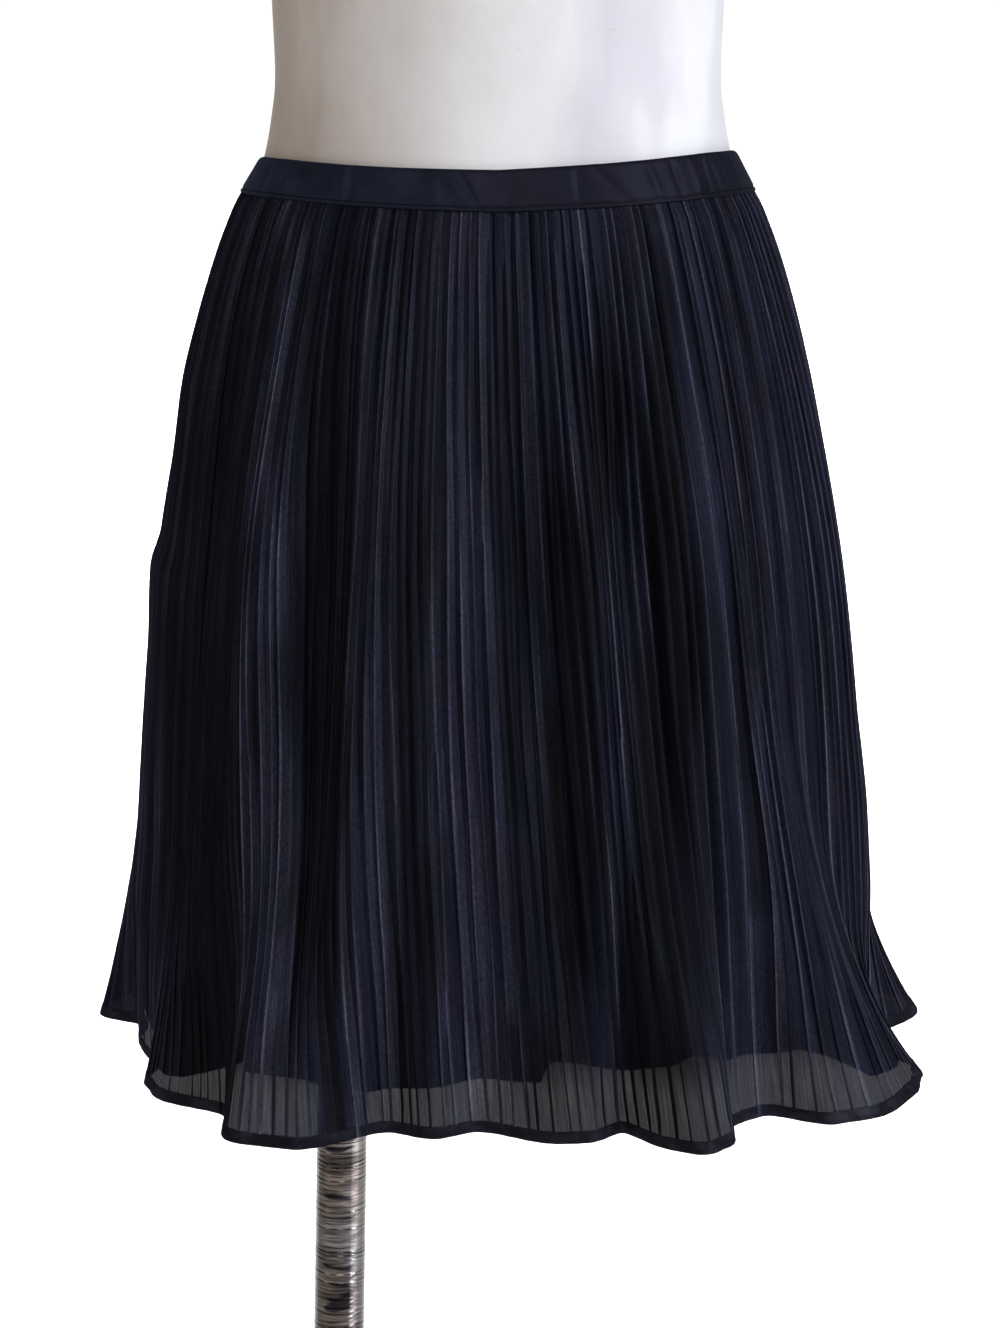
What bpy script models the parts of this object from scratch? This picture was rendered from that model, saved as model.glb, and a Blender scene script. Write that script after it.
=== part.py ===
"""Pleated mini skirt on a limbless dress form with a round pole and base.

Metres, +Z up.  The origin is on the floor, under the middle of the waist.
+X is the wearer's left as seen from the front, and the front faces -Y.
The skirt: a narrow waistband in two halves, a knife-pleated outer panel in
front and in back, and a plain lining panel inside each.  The form's hips hold
the band up.  Heights in the tables are measured from the band's top edge.
"""
import math
import bpy
import bmesh
import numpy as np
from mathutils import Vector

# ---------------------------------------------------------------- sizes
WAIST_Z = 0.780          # band's top edge above the floor
BAND_H = 0.020           # finished height of the waistband
HEM_Z = -0.470           # hem, below the band's top edge
LINING_Z = -0.443        # lower edge of the lining
BAND_WALL = 0.0022       # interfaced band, two layers of cloth
PLEAT_WALL = 0.0017      # pleated cloth, measured towards the middle
LINING_WALL = 0.0012
GAP = 0.0003             # between pieces that meet
SEAM_GAP = 0.0004        # between the panels at the side seams
PLEATS_PER_PANEL = 82    # knife pleats across the front, and across the back
PLEAT_DEPTH = 0.0018     # crest to valley
PLEAT_CREST = 0.66       # where the crest is, as a part of one pleat
LINING_COLUMNS = 30      # strips across each lining panel
RING = 48                # sides of the round pieces' sections
TILT = 0.0014            # the band sits a little higher at +X

POLE_R = 0.0140
POLE_X = -0.0841         # pole's centre at the height of the hem
POLE_LEAN = 0.024        # sideways travel for each metre of height
FORM_UNDER = -0.335      # flat underside of the form
SOCKET_R, SOCKET_H = 0.034, 0.016
BASE_R, BASE_H = 0.165, 0.014
BASE_X = -0.030
HUB_R, HUB_H = 0.030, 0.030

# Plan sections of the outer cloth: half width, and depth to front and back.
SECTION_COLUMNS = ("z", "half_width", "front", "back")
SECTIONS = (
    (0.000, 0.1225, 0.1000, 0.0880),
    (-0.020, 0.1326, 0.1060, 0.0960),
    (-0.060, 0.1484, 0.1165, 0.1100),
    (-0.130, 0.1672, 0.1315, 0.1260),
    (-0.230, 0.1842, 0.1485, 0.1390),
    (-0.390, 0.1980, 0.1675, 0.1510),
    (-0.470, 0.2040, 0.1750, 0.1560),
)

# Crests and valleys of the hem, all round from the middle of the front
# towards +X: where each is at the hem, and the height at which it begins.
FOLD_COLUMNS = ("name", "x", "y", "start")
FOLDS = (
    ("valley", -0.0100, -0.1650, -0.120),
    ("crest", 0.0330, -0.1815, -0.120),
    ("valley", 0.0640, -0.1632, -0.120),
    ("shoulder", 0.0800, -0.1880, -0.130),
    ("crest", 0.1030, -0.1963, -0.130),
    ("shoulder", 0.1150, -0.1845, -0.140),
    ("slope", 0.1250, -0.1510, -0.150),
    ("valley", 0.1385, -0.1380, -0.160),
    ("shoulder", 0.1650, -0.1560, -0.200),
    ("crest", 0.1969, -0.1397, -0.240),
    ("shoulder", 0.2205, -0.0830, -0.300),
    ("valley", 0.2030, -0.0250, -0.330),
    ("crest", 0.2310, 0.0280, -0.370),
    ("valley", 0.1880, 0.0780, -0.300),
    ("crest", 0.1850, 0.1220, -0.240),
    ("valley", 0.1340, 0.1240, -0.200),
    ("crest", 0.1060, 0.1640, -0.180),
    ("valley", 0.0620, 0.1450, -0.180),
    ("crest", 0.0220, 0.1740, -0.200),
    ("valley", -0.0260, 0.1520, -0.200),
    ("crest", -0.0700, 0.1700, -0.180),
    ("valley", -0.1120, 0.1320, -0.180),
    ("crest", -0.1600, 0.1380, -0.220),
    ("valley", -0.1800, 0.0850, -0.280),
    ("crest", -0.2190, 0.0150, -0.330),
    ("valley", -0.1900, -0.0060, -0.320),
    ("crest", -0.1920, -0.0330, -0.300),
    ("valley", -0.1790, -0.0730, -0.260),
    ("crest", -0.1752, -0.1150, -0.230),
    ("valley", -0.1430, -0.1350, -0.170),
    ("shoulder", -0.1330, -0.1785, -0.150),
    ("crest", -0.1032, -0.1890, -0.130),
    ("valley", -0.0540, -0.1655, -0.120),
    ("crest", -0.0330, -0.1750, -0.120),
)

# The form: half width, and depth to front and back, from the top down.
FORM_COLUMNS = ("z", "half_width", "front", "back")
FORM = (
    (0.1500, 0.0560, 0.0440, 0.0420),
    (0.1485, 0.0820, 0.0660, 0.0620),
    (0.1430, 0.1020, 0.0820, 0.0780),
    (0.1320, 0.1130, 0.0910, 0.0860),
    (0.1150, 0.1160, 0.0935, 0.0880),
    (0.0770, 0.1149, 0.0925, 0.0860),
    (0.0400, 0.1138, 0.0915, 0.0840),
    (0.0200, 0.1158, 0.0940, 0.0845),
    (0.0000, 0.1196, 0.0970, 0.0851),
    (-0.0200, 0.1258, 0.0999, 0.0900),
    (-0.0550, 0.1345, 0.1050, 0.0980),
    (-0.1000, 0.1440, 0.1100, 0.1080),
    (-0.1700, 0.1530, 0.1160, 0.1200),
    (-0.2400, 0.1550, 0.1160, 0.1180),
    (-0.2950, 0.1500, 0.1120, 0.1080),
    (-0.3270, 0.1440, 0.1070, 0.1010),
    (-0.3350, 0.1370, 0.1000, 0.0940),
)

# Turned profiles: radius and height, from the outer rim's foot upwards.
BASE_PROFILE = ((BASE_R - 0.0015, 0.0), (BASE_R, 0.0015), (BASE_R, 0.0085),
                (BASE_R - 0.003, 0.0115), (BASE_R - 0.010, 0.0130),
                (HUB_R + 0.006, BASE_H))


# ---------------------------------------------------------------- helpers
def row_at(table, z):
    """Half width, front and back depth of a section table at height z."""
    rows = sorted(table)
    zs = [r[0] for r in rows]
    return [float(np.interp(z, zs, [r[k] for r in rows])) for k in (1, 2, 3)]


def oval_radius(phi, size):
    """Distance from the axis to an oval; phi is 0 in front, + towards +X."""
    half_width, front, back = size
    depth = front if math.cos(phi) >= 0 else back
    return 1.0 / math.hypot(math.sin(phi) / half_width, math.cos(phi) / depth)


def direction(phi):
    return Vector((math.sin(phi), -math.cos(phi), 0.0))


def fold_table():
    """The folds as angle, how far out past the plain hem, and start height."""
    rows = []
    for _, x, y, start in FOLDS:
        phi = math.atan2(x, -y)
        plain = oval_radius(phi, row_at(SECTIONS, HEM_Z))
        rows.append((phi, math.hypot(x, y) - plain, start))
    return sorted(rows)


FOLD_ROWS = fold_table()


def fold(phi, z):
    """Outward push of the folds at this angle and height."""
    phi = (phi + math.pi) % (2 * math.pi) - math.pi
    rows = FOLD_ROWS
    wrapped = [(rows[-1][0] - 2 * math.pi,) + rows[-1][1:]] + rows \
        + [(rows[0][0] + 2 * math.pi,) + rows[0][1:]]
    for (a0, d0, s0), (a1, d1, s1) in zip(wrapped, wrapped[1:]):
        if a0 <= phi <= a1:
            t = 0.5 - 0.5 * math.cos(math.pi * (phi - a0) / (a1 - a0))
            push, start = d0 + (d1 - d0) * t, s0 + (s1 - s0) * t
            rise = max(0.0, (start - z) / (start - HEM_Z))
            return push * rise * rise
    return 0.0


def outline(phi, z, folds=1.0, inset=0.0):
    """Point of the smooth cloth surface that the pleats lie on."""
    r = oval_radius(phi, row_at(SECTIONS, z)) + folds * fold(phi, z) - inset
    return direction(phi) * r


def arc(z, first, last, parts, crowd, folds, inset):
    """Points and outward normals at even steps along half an outline.

    crowd > 0 draws the steps closer in the middle of the panel."""
    fine = 720
    angles = [first + (last - first) * i / fine for i in range(fine + 1)]
    pts = np.array([outline(a, z, folds, inset)[:2] for a in angles])
    run = np.concatenate(([0.0], np.cumsum(
        np.hypot(*(pts[1:] - pts[:-1]).T))))
    tangent = np.gradient(pts, axis=0)
    tangent /= np.hypot(tangent[:, 0], tangent[:, 1])[:, None]
    out = []
    for w in parts:
        s = w + crowd / (2 * math.pi) * math.sin(2 * math.pi * w)
        s = SEAM_GAP / 2 + s * (run[-1] - SEAM_GAP)
        x, y = np.interp(s, run, pts[:, 0]), np.interp(s, run, pts[:, 1])
        tx, ty = np.interp(s, run, tangent[:, 0]), \
            np.interp(s, run, tangent[:, 1])
        out.append((Vector((x, y, 0.0)), Vector((ty, -tx, 0.0)).normalized()))
    return out


def paint(obj, name, color, roughness, metallic=0.0):
    mat = bpy.data.materials.new(name)
    mat.use_nodes = True
    shader = mat.node_tree.nodes["Principled BSDF"]
    shader.inputs["Base Color"].default_value = (*color, 1.0)
    shader.inputs["Roughness"].default_value = roughness
    shader.inputs["Metallic"].default_value = metallic
    obj.data.materials.append(mat)


def add_object(name, bm, parent):
    bmesh.ops.recalc_face_normals(bm, faces=bm.faces)
    mesh = bpy.data.meshes.new(name)
    bm.to_mesh(mesh)
    bm.free()
    mesh.shade_smooth()
    mesh.set_sharp_from_angle(angle=math.radians(40))
    obj = bpy.data.objects.new(name, mesh)
    bpy.context.scene.collection.objects.link(obj)
    obj.parent = parent
    return obj


def wall(name, outer, inner, parent):
    """A closed wall between two grids of points, both [row][column]."""
    bm = bmesh.new()
    a = [[bm.verts.new(p) for p in row] for row in outer]
    b = [[bm.verts.new(p) for p in row] for row in inner]
    nr, nc = len(a), len(a[0])
    for r in range(nr - 1):
        for c in range(nc - 1):
            for g in (a, b):
                bm.faces.new((g[r][c], g[r][c + 1], g[r + 1][c + 1]))
                bm.faces.new((g[r][c], g[r + 1][c + 1], g[r + 1][c]))
    for r in (0, nr - 1):
        for c in range(nc - 1):
            bm.faces.new((a[r][c], a[r][c + 1], b[r][c + 1], b[r][c]))
    for c in (0, nc - 1):
        for r in range(nr - 1):
            bm.faces.new((a[r][c], a[r + 1][c], b[r + 1][c], b[r][c]))
    return add_object(name, bm, parent)


def rings(name, sections, parent):
    """A closed solid lofted through rings of points, with flat ends."""
    bm = bmesh.new()
    loops = [[bm.verts.new(p) for p in ring] for ring in sections]
    n = len(loops[0])
    for lo, hi in zip(loops, loops[1:]):
        for i in range(n):
            j = (i + 1) % n
            bm.faces.new((lo[i], lo[j], hi[j], hi[i]))
    bm.faces.new(loops[0])
    bm.faces.new(loops[-1])
    return add_object(name, bm, parent)


def circle(cx, radius, z, n=RING):
    return [Vector((cx + radius * math.cos(2 * math.pi * i / n),
                    radius * math.sin(2 * math.pi * i / n), z))
            for i in range(n)]


def turned(name, cx, profile, parent, bore=0.0):
    """A turned solid; with a bore it is a ring with a round hole."""
    if not bore:
        return rings(name, [circle(cx, r, z) for r, z in profile], parent)
    bm = bmesh.new()
    closed = list(profile) + [(bore, profile[-1][1]), (bore, profile[0][1])]
    loops = [[bm.verts.new(p) for p in circle(cx, r, z)] for r, z in closed]
    for lo, hi in zip(loops, loops[1:] + loops[:1]):
        for i in range(RING):
            j = (i + 1) % RING
            bm.faces.new((lo[i], lo[j], hi[j], hi[i]))
    return add_object(name, bm, parent)


# ---------------------------------------------------------------- cloth
PANELS = (("front", -math.pi / 2, math.pi / 2, 0.17),
          ("back", math.pi / 2, 3 * math.pi / 2, 0.0))
CLOTH_ROWS = [r[0] for r in SECTIONS[1:]]


def lift(z):
    return Vector((0.0, 0.0, WAIST_Z + z))


def waistband(side, first, last, parent):
    """Half of the band: a plain flat strip, a little wider at its foot."""
    outer, inner = [], []
    count = RING // 2
    for z in (0.0, -BAND_H):
        line_out, line_in = [], []
        size = row_at(SECTIONS, z)
        for i in range(count + 1):
            phi = first + (last - first) * i / count
            d = direction(phi)
            end = Vector((0.0, 0.0, 0.0))
            if i in (0, count):
                # stop just short of the side seam
                end.y = -GAP / 2 if side == "front" else GAP / 2
            up = lift(z + (TILT * math.sin(phi) if z == 0.0 else 0.0))
            r = oval_radius(phi, size)
            line_out.append(d * r + end + up)
            line_in.append(d * (r - BAND_WALL) + end + up)
        outer.append(line_out)
        inner.append(line_in)
    obj = wall("waistband_" + side, outer, inner, parent)
    paint(obj, "band_cloth", (0.010, 0.011, 0.018), 0.62)


def pleated_panel(side, first, last, crowd, parent):
    """Outer panel: a zig-zag of knife pleats on the folded outline."""
    marks = [(0.0, False)]
    for i in range(PLEATS_PER_PANEL):
        marks.append(((i + PLEAT_CREST) / PLEATS_PER_PANEL, True))
        marks.append(((i + 1.0) / PLEATS_PER_PANEL, False))
    outer, inner = [], []
    for z in CLOTH_ROWS:
        height = z - GAP if z == -BAND_H else z
        open_ = min(1.0, max(0.0, (-z - 0.13) / 0.34))
        line = arc(z, first, last, [m for m, _ in marks], crowd * open_,
                   1.0, 0.0)
        line_out, line_in = [], []
        for (p, n), (_, crest) in zip(line, marks):
            q = p - (Vector() if crest else n * PLEAT_DEPTH)
            line_out.append(q + lift(height))
            line_in.append(q - n * PLEAT_WALL + lift(height))
        outer.append(line_out)
        inner.append(line_in)
    obj = wall("shell_" + side, outer, inner, parent)
    paint(obj, "pleated_chiffon", (0.012, 0.014, 0.024), 0.55)


def lining_panel(side, first, last, parent):
    """Lining: a plain wall inside the pleats with shallower folds."""
    clear = PLEAT_DEPTH + PLEAT_WALL + GAP + 0.0002
    parts = [i / LINING_COLUMNS for i in range(LINING_COLUMNS + 1)]
    outer, inner = [], []
    for z in CLOTH_ROWS[:-1] + [LINING_Z]:
        height = z - GAP if z == -BAND_H else z
        drop = max(0.0, (-BAND_H - z) / (-BAND_H - LINING_Z))
        inset = clear + 0.0065 * drop
        line = arc(z, first, last, parts, 0.0, 1.0 - 0.5 * drop, inset)
        outer.append([p + lift(height) for p, n in line])
        inner.append([p - n * LINING_WALL + lift(height) for p, n in line])
    obj = wall("lining_" + side, outer, inner, parent)
    paint(obj, "lining_cloth", (0.006, 0.006, 0.009), 0.6)


# ---------------------------------------------------------------- stand
def pole_x(z):
    """The pole's centre at a height above the floor."""
    return POLE_X + POLE_LEAN * (z - (WAIST_Z + HEM_Z))


def form_torso(parent):
    loops = []
    for z, half_width, front, back in FORM:
        loops.append([direction(2 * math.pi * i / RING)
                      * oval_radius(2 * math.pi * i / RING,
                                    (half_width, front, back)) + lift(z)
                      for i in range(RING)])
    obj = rings("form_torso", loops, parent)
    paint(obj, "form_white", (0.80, 0.79, 0.78), 0.32)


def stand(parent):
    under = WAIST_Z + FORM_UNDER
    top = under - GAP
    # flange under the form, around the pole's upper end
    cx = pole_x(top)
    obj = turned("pole_socket", cx,
                 ((SOCKET_R * 0.60, top - SOCKET_H), (SOCKET_R * 0.66,
                  top - SOCKET_H + 0.0015), (SOCKET_R * 0.66, top - 0.0060),
                  (SOCKET_R, top - 0.0045), (SOCKET_R, top)),
                 parent, bore=POLE_R + 0.0008)
    paint(obj, "socket_metal", (0.60, 0.60, 0.60), 0.30, 1.0)
    # pole, leaning a little towards -X as it goes down
    foot = BASE_H + GAP
    obj = rings("stand_pole", [circle(pole_x(z), POLE_R, z)
                               for z in (foot, top)], parent)
    paint(obj, "pole_chrome", (0.62, 0.62, 0.64), 0.18, 1.0)
    # collar on the base
    cx = pole_x(foot)
    obj = turned("base_collar", cx,
                 ((HUB_R, foot), (HUB_R, foot + 0.004),
                  (HUB_R - 0.004, foot + 0.008),
                  (POLE_R + 0.006, foot + 0.012),
                  (POLE_R + 0.005, foot + HUB_H - 0.0015),
                  (POLE_R + 0.0035, foot + HUB_H)),
                 parent, bore=POLE_R + 0.0011)
    paint(obj, "collar_metal", (0.60, 0.60, 0.60), 0.30, 1.0)
    obj = turned("stand_base", BASE_X, BASE_PROFILE, parent)
    paint(obj, "base_metal", (0.58, 0.58, 0.59), 0.34, 1.0)


def main():
    for obj in list(bpy.data.objects):
        bpy.data.objects.remove(obj, do_unlink=True)
    root = bpy.data.objects.new("skirt_on_form", None)
    bpy.context.scene.collection.objects.link(root)
    for side, first, last, crowd in PANELS:
        waistband(side, first, last, root)
        pleated_panel(side, first, last, crowd, root)
        lining_panel(side, first, last, root)
    form_torso(root)
    stand(root)


main()
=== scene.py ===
"""Looks for the pleated skirt on its form: cloth shells, stand finish, floor, light and camera."""
import math
import random

import bpy
import numpy as np
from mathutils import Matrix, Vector


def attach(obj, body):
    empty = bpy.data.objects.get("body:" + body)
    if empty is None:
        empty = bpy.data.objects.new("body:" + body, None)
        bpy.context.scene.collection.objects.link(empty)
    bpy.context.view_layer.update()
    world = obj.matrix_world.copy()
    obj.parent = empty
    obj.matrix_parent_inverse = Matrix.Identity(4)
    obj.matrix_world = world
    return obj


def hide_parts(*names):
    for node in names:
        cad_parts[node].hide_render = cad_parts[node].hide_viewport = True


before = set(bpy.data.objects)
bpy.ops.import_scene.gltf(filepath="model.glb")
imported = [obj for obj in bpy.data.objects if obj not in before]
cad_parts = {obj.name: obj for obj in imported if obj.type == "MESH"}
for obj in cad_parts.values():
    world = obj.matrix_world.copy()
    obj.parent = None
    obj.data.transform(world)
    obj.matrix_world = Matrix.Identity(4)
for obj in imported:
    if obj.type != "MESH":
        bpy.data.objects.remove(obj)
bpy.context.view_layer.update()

BODY = "root"
DEG = math.pi / 180.0

# ---------------------------------------------------------------- sizes (metres, as in the CAD)
WAIST_Z = 0.780
BAND_H = 0.020
HEM_Z = -0.470
LINING_Z = -0.443
FORM_UNDER = -0.335
POLE_R, POLE_X, POLE_LEAN = 0.0140, -0.0841, 0.024
BASE_R, BASE_H, BASE_X = 0.165, 0.014, -0.030
HUB_R, HUB_H = 0.030, 0.030
SOCKET_R, SOCKET_H = 0.034, 0.016
GAP = 0.0003
TILT = 0.0014
PLEATS = 96               # in each panel
HEM_BAND = 0.0058         # turned hem

# z, half width, depth in front, depth behind
SECTIONS = (
    (0.000, 0.1225, 0.1000, 0.0880),
    (-0.020, 0.1326, 0.1060, 0.0960),
    (-0.060, 0.1484, 0.1165, 0.1100),
    (-0.130, 0.1672, 0.1315, 0.1260),
    (-0.230, 0.1842, 0.1485, 0.1390),
    (-0.390, 0.1980, 0.1675, 0.1510),
    (-0.470, 0.2040, 0.1750, 0.1560),
)

# hem crests and valleys all round: x, y at the hem, height where each begins
FOLDS = (
    (-0.0100, -0.1650, -0.120), (0.0330, -0.1815, -0.120),
    (0.0444, -0.1803, -0.120), (0.0652, -0.1634, -0.120),
    (0.0760, -0.1865, -0.130),
    (0.1030, -0.1965, -0.130), (0.1152, -0.1848, -0.140),
    (0.1183, -0.1560, -0.150), (0.1240, -0.1500, -0.150), (0.1385, -0.1385, -0.160),
    (0.1480, -0.1475, -0.180), (0.1650, -0.1572, -0.200), (0.1969, -0.1402, -0.240),
    (0.2140, -0.1120, -0.310), (0.2215, -0.0830, -0.388), (0.1925, -0.0330, -0.388),
    (0.2310, 0.0280, -0.370), (0.1880, 0.0780, -0.300),
    (0.1850, 0.1220, -0.240), (0.1340, 0.1240, -0.200),
    (0.1060, 0.1640, -0.180), (0.0620, 0.1450, -0.180),
    (0.0220, 0.1740, -0.200), (-0.0260, 0.1520, -0.200),
    (-0.0700, 0.1700, -0.180), (-0.1120, 0.1320, -0.180),
    (-0.1600, 0.1380, -0.220), (-0.1800, 0.0850, -0.280),
    (-0.2190, 0.0150, -0.330), (-0.1900, -0.0060, -0.320),
    (-0.1920, -0.0330, -0.300), (-0.1790, -0.0690, -0.260),
    (-0.1822, -0.0990, -0.355), (-0.1740, -0.1180, -0.260),
    (-0.1400, -0.1395, -0.170),
    (-0.1330, -0.1785, -0.150), (-0.1032, -0.1890, -0.130),
    (-0.0540, -0.1655, -0.120), (-0.0330, -0.1750, -0.120),
)

# form: z, half width, depth in front, depth behind
FORM = (
    (0.1500, 0.0560, 0.0440, 0.0420),
    (0.1485, 0.0820, 0.0660, 0.0620),
    (0.1430, 0.1020, 0.0820, 0.0780),
    (0.1320, 0.1130, 0.0910, 0.0860),
    (0.1150, 0.1160, 0.0935, 0.0880),
    (0.0770, 0.1149, 0.0925, 0.0860),
    (0.0400, 0.1138, 0.0915, 0.0840),
    (0.0200, 0.1158, 0.0940, 0.0845),
    (0.0000, 0.1196, 0.0970, 0.0851),
    (-0.0200, 0.1258, 0.0999, 0.0900),
    (-0.0550, 0.1345, 0.1050, 0.0980),
    (-0.1000, 0.1440, 0.1100, 0.1080),
    (-0.1700, 0.1530, 0.1160, 0.1200),
    (-0.2400, 0.1550, 0.1160, 0.1180),
    (-0.2950, 0.1500, 0.1120, 0.1080),
    (-0.3270, 0.1440, 0.1070, 0.1010),
    (-0.3350, 0.1370, 0.1000, 0.0940),
)


# ---------------------------------------------------------------- numbers
def smooth(x, a, b):
    t = np.clip((np.asarray(x, float) - a) / (b - a), 0.0, 1.0)
    return t * t * (3 - 2 * t)


def monotone(xs, ys, x):
    """Smooth interpolation that never overshoots its points."""
    xs, ys = np.asarray(xs, float), np.asarray(ys, float)
    h = np.diff(xs)
    d = np.diff(ys) / h
    m = np.zeros(len(xs))
    m[0], m[-1] = d[0], d[-1]
    for i in range(1, len(xs) - 1):
        if d[i - 1] * d[i] > 0:
            w1, w2 = 2 * h[i] + h[i - 1], h[i] + 2 * h[i - 1]
            m[i] = (w1 + w2) / (w1 / d[i - 1] + w2 / d[i])
    x = np.clip(x, xs[0], xs[-1])
    i = np.clip(np.searchsorted(xs, x) - 1, 0, len(h) - 1)
    t = (x - xs[i]) / h[i]
    return ((1 + 2 * t) * (1 - t) ** 2 * ys[i] + t * (1 - t) ** 2 * h[i] * m[i]
            + t * t * (3 - 2 * t) * ys[i + 1] + t * t * (t - 1) * h[i] * m[i + 1])


def section(table, z):
    rows = sorted(table)
    zs = [r[0] for r in rows]
    return [monotone(zs, [r[k] for r in rows], z) for k in (1, 2, 3)]


def oval(phi, half_width, front, back):
    depth = np.where(np.cos(phi) >= 0, front, back)
    return 1.0 / np.hypot(np.sin(phi) / half_width, np.cos(phi) / depth)


# fold tables on a fine ring of angles, from -180 to 180 degrees
RING = 2880
RING_PHI = -math.pi + 2 * math.pi * np.arange(RING) / RING


def ring_folds():
    rows = []
    hw, fr, bk = (float(v) for v in section(SECTIONS, HEM_Z))
    for x, y, start in FOLDS:
        phi = math.atan2(x, -y)
        rows.append((phi, math.hypot(x, y) - float(oval(phi, hw, fr, bk)), start))
    rows.sort()
    rows = [(rows[-1][0] - 2 * math.pi,) + rows[-1][1:]] + rows \
        + [(rows[0][0] + 2 * math.pi,) + rows[0][1:]]
    a = np.array([r[0] for r in rows])
    i = np.clip(np.searchsorted(a, RING_PHI, side="right") - 1, 0, len(a) - 2)
    t = 0.5 - 0.5 * np.cos(math.pi * (RING_PHI - a[i]) / (a[i + 1] - a[i]))
    push = np.array([r[1] for r in rows])
    start = np.array([r[2] for r in rows])
    push = push[i] + (push[i + 1] - push[i]) * t
    start = start[i] + (start[i + 1] - start[i]) * t
    k = np.exp(-0.5 * (np.arange(-24, 25) / 7.0) ** 2)
    k /= k.sum()
    soft = [np.convolve(np.concatenate((v[-24:], v, v[:24])), k, "valid") for v in (push, start)]
    return soft


PUSH, START = ring_folds()


def ring_value(values, phi):
    p = (phi + math.pi) % (2 * math.pi) - math.pi
    return np.interp(p, np.append(RING_PHI, math.pi), np.append(values, values[0]))


def hem_fold(phi, z):
    push, start = ring_value(PUSH, phi), ring_value(START, phi)
    rise = np.clip((start - z) / (start - HEM_Z), 0.0, 1.0)
    return push * rise * rise


# soft folds at the middle of the skirt: angle (degrees), push (metres, + outwards)
MID_FOLDS = (
    (-175.0, 0.0040), (-160.0, -0.0040), (-146.0, 0.0045), (-132.0, -0.0030), (-118.0, 0.0030), (-104.0, -0.0030),
    (-92.0, 0.0015), (-80.0, -0.0020), (-66.0, -0.0035), (-47.0, 0.0070), (-33.0, -0.0070), (-21.0, 0.0050),
    (-5.0, 0.0000), (9.5, -0.0080), (18.0, 0.0085), (27.0, -0.0085), (39.5, 0.0065), (60.0, -0.0010),
    (76.0, 0.0025), (90.0, -0.0020), (103.0, 0.0035), (118.0, -0.0035), (130.0, 0.0030), (147.0, -0.0050),
    (163.0, 0.0050), (176.0, -0.0030),
)


def ring_mid():
    a = np.array([f[0] for f in MID_FOLDS]) * DEG
    v = np.array([f[1] for f in MID_FOLDS])
    a = np.concatenate(([a[-1] - 2 * math.pi], a, [a[0] + 2 * math.pi]))
    v = np.concatenate(([v[-1]], v, [v[0]]))
    i = np.clip(np.searchsorted(a, RING_PHI, side="right") - 1, 0, len(a) - 2)
    t = 0.5 - 0.5 * np.cos(math.pi * (RING_PHI - a[i]) / (a[i + 1] - a[i]))
    return v[i] + (v[i + 1] - v[i]) * t


MID = ring_mid()


GROUP_RNG = np.random.default_rng(71)
GROUPS = [(k, GROUP_RNG.uniform(0, 2 * math.pi), GROUP_RNG.uniform(-2.2, 2.2), GROUP_RNG.uniform(0.5, 1.0) * (22.0 / k) ** 0.75)
          for k in (14, 17, 19, 23, 26, 31, 34, 38, 43, 47, 53, 59)]


def group_fold(phi, z):
    """Narrow uneven folds, a few pleats wide, that run down the whole skirt."""
    total = 0.0
    for k, phase, drift, size in GROUPS:
        total = total + size * np.sin(k * phi + phase + drift * z / 0.47)
    return 0.00042 * total


def body_fold(phi, z):
    """Folds that begin under the band, are fullest at the middle and give way to the hem's."""
    z = np.asarray(z, float)
    strength = smooth(-z, 0.045, 0.21) * (1 - smooth(-z, 0.33, 0.462))
    drift = 3.5 * DEG * (smooth(-z, 0.06, 0.40) - 0.55)    # the folds lean a little outwards as they fall
    side = 1 - 0.75 * np.abs(np.sin(phi)) ** 8             # the contour of the hips stays calm
    deg = (phi / DEG + 180.0) % 360.0 - 180.0
    notch = -0.0036 * np.exp(-((deg + 86.0) / 12.0) ** 2) * smooth(-z, 0.105, 0.165) * (1 - smooth(-z, 0.196, 0.214))
    notch = notch - 0.0025 * np.exp(-((deg + 88.0) / 14.0) ** 2) * smooth(-z, 0.21, 0.26) * (1 - smooth(-z, 0.35, 0.40))
    notch = notch + 0.0024 * np.exp(-((deg - 88.0) / 14.0) ** 2) * smooth(-z, 0.28, 0.34) * (1 - smooth(-z, 0.38, 0.42))
    groups = notch + group_fold(phi, z) * smooth(-z, 0.030, 0.13) * (1 - 0.95 * smooth(-z, 0.38, 0.455)) * side
    return groups + strength * ring_value(MID, phi - drift * np.sign(np.sin(phi)) * np.abs(np.sin(phi)) ** 0.5)


# the top of the skirt sits lower in front than at the hips: share of the half width, rise
TOP_RISE = ((0.0, 0.0), (0.23, 0.0010), (0.43, 0.0017), (0.63, 0.0026), (0.75, 0.0032), (0.86, 0.0034),
            (0.95, 0.0026), (1.0, 0.0016))


def top_rise(phi):
    x = np.abs(np.sin(phi)) / np.hypot(np.sin(phi), np.cos(phi) * 1.225)
    front = np.interp(x, [r[0] for r in TOP_RISE], [r[1] for r in TOP_RISE])
    front = front * np.where(np.sin(phi) < 0, 0.70, 0.95)
    behind = np.interp(np.degrees(np.abs((phi + math.pi) % (2 * math.pi) - math.pi)), (90, 101, 125, 180),
                       (0.0012, -0.0006, -0.0012, 0.0))
    return np.where(np.cos(phi) >= 0, front, behind)


def corner_drop(phi):
    """How far the top edge of the band rolls down at the sides."""
    deg = np.abs((phi / DEG + 180.0) % 360.0 - 180.0)
    t = np.clip((deg - 76.0) / 14.0, 0.0, 1.0)
    return np.where(deg <= 90.0, 0.0056 * (1 - np.sqrt(1 - t * t * 0.9999)),
                    np.interp(deg, (90, 97, 110, 132), (0.0056, 0.0042, 0.0034, 0.0)))


def lifted(phi, z):
    """Height over the floor of a point of the skirt at a drop z."""
    return WAIST_Z + z + top_rise(phi) * (1 - smooth(-np.asarray(z, float), 0.03, 0.12))


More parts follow.
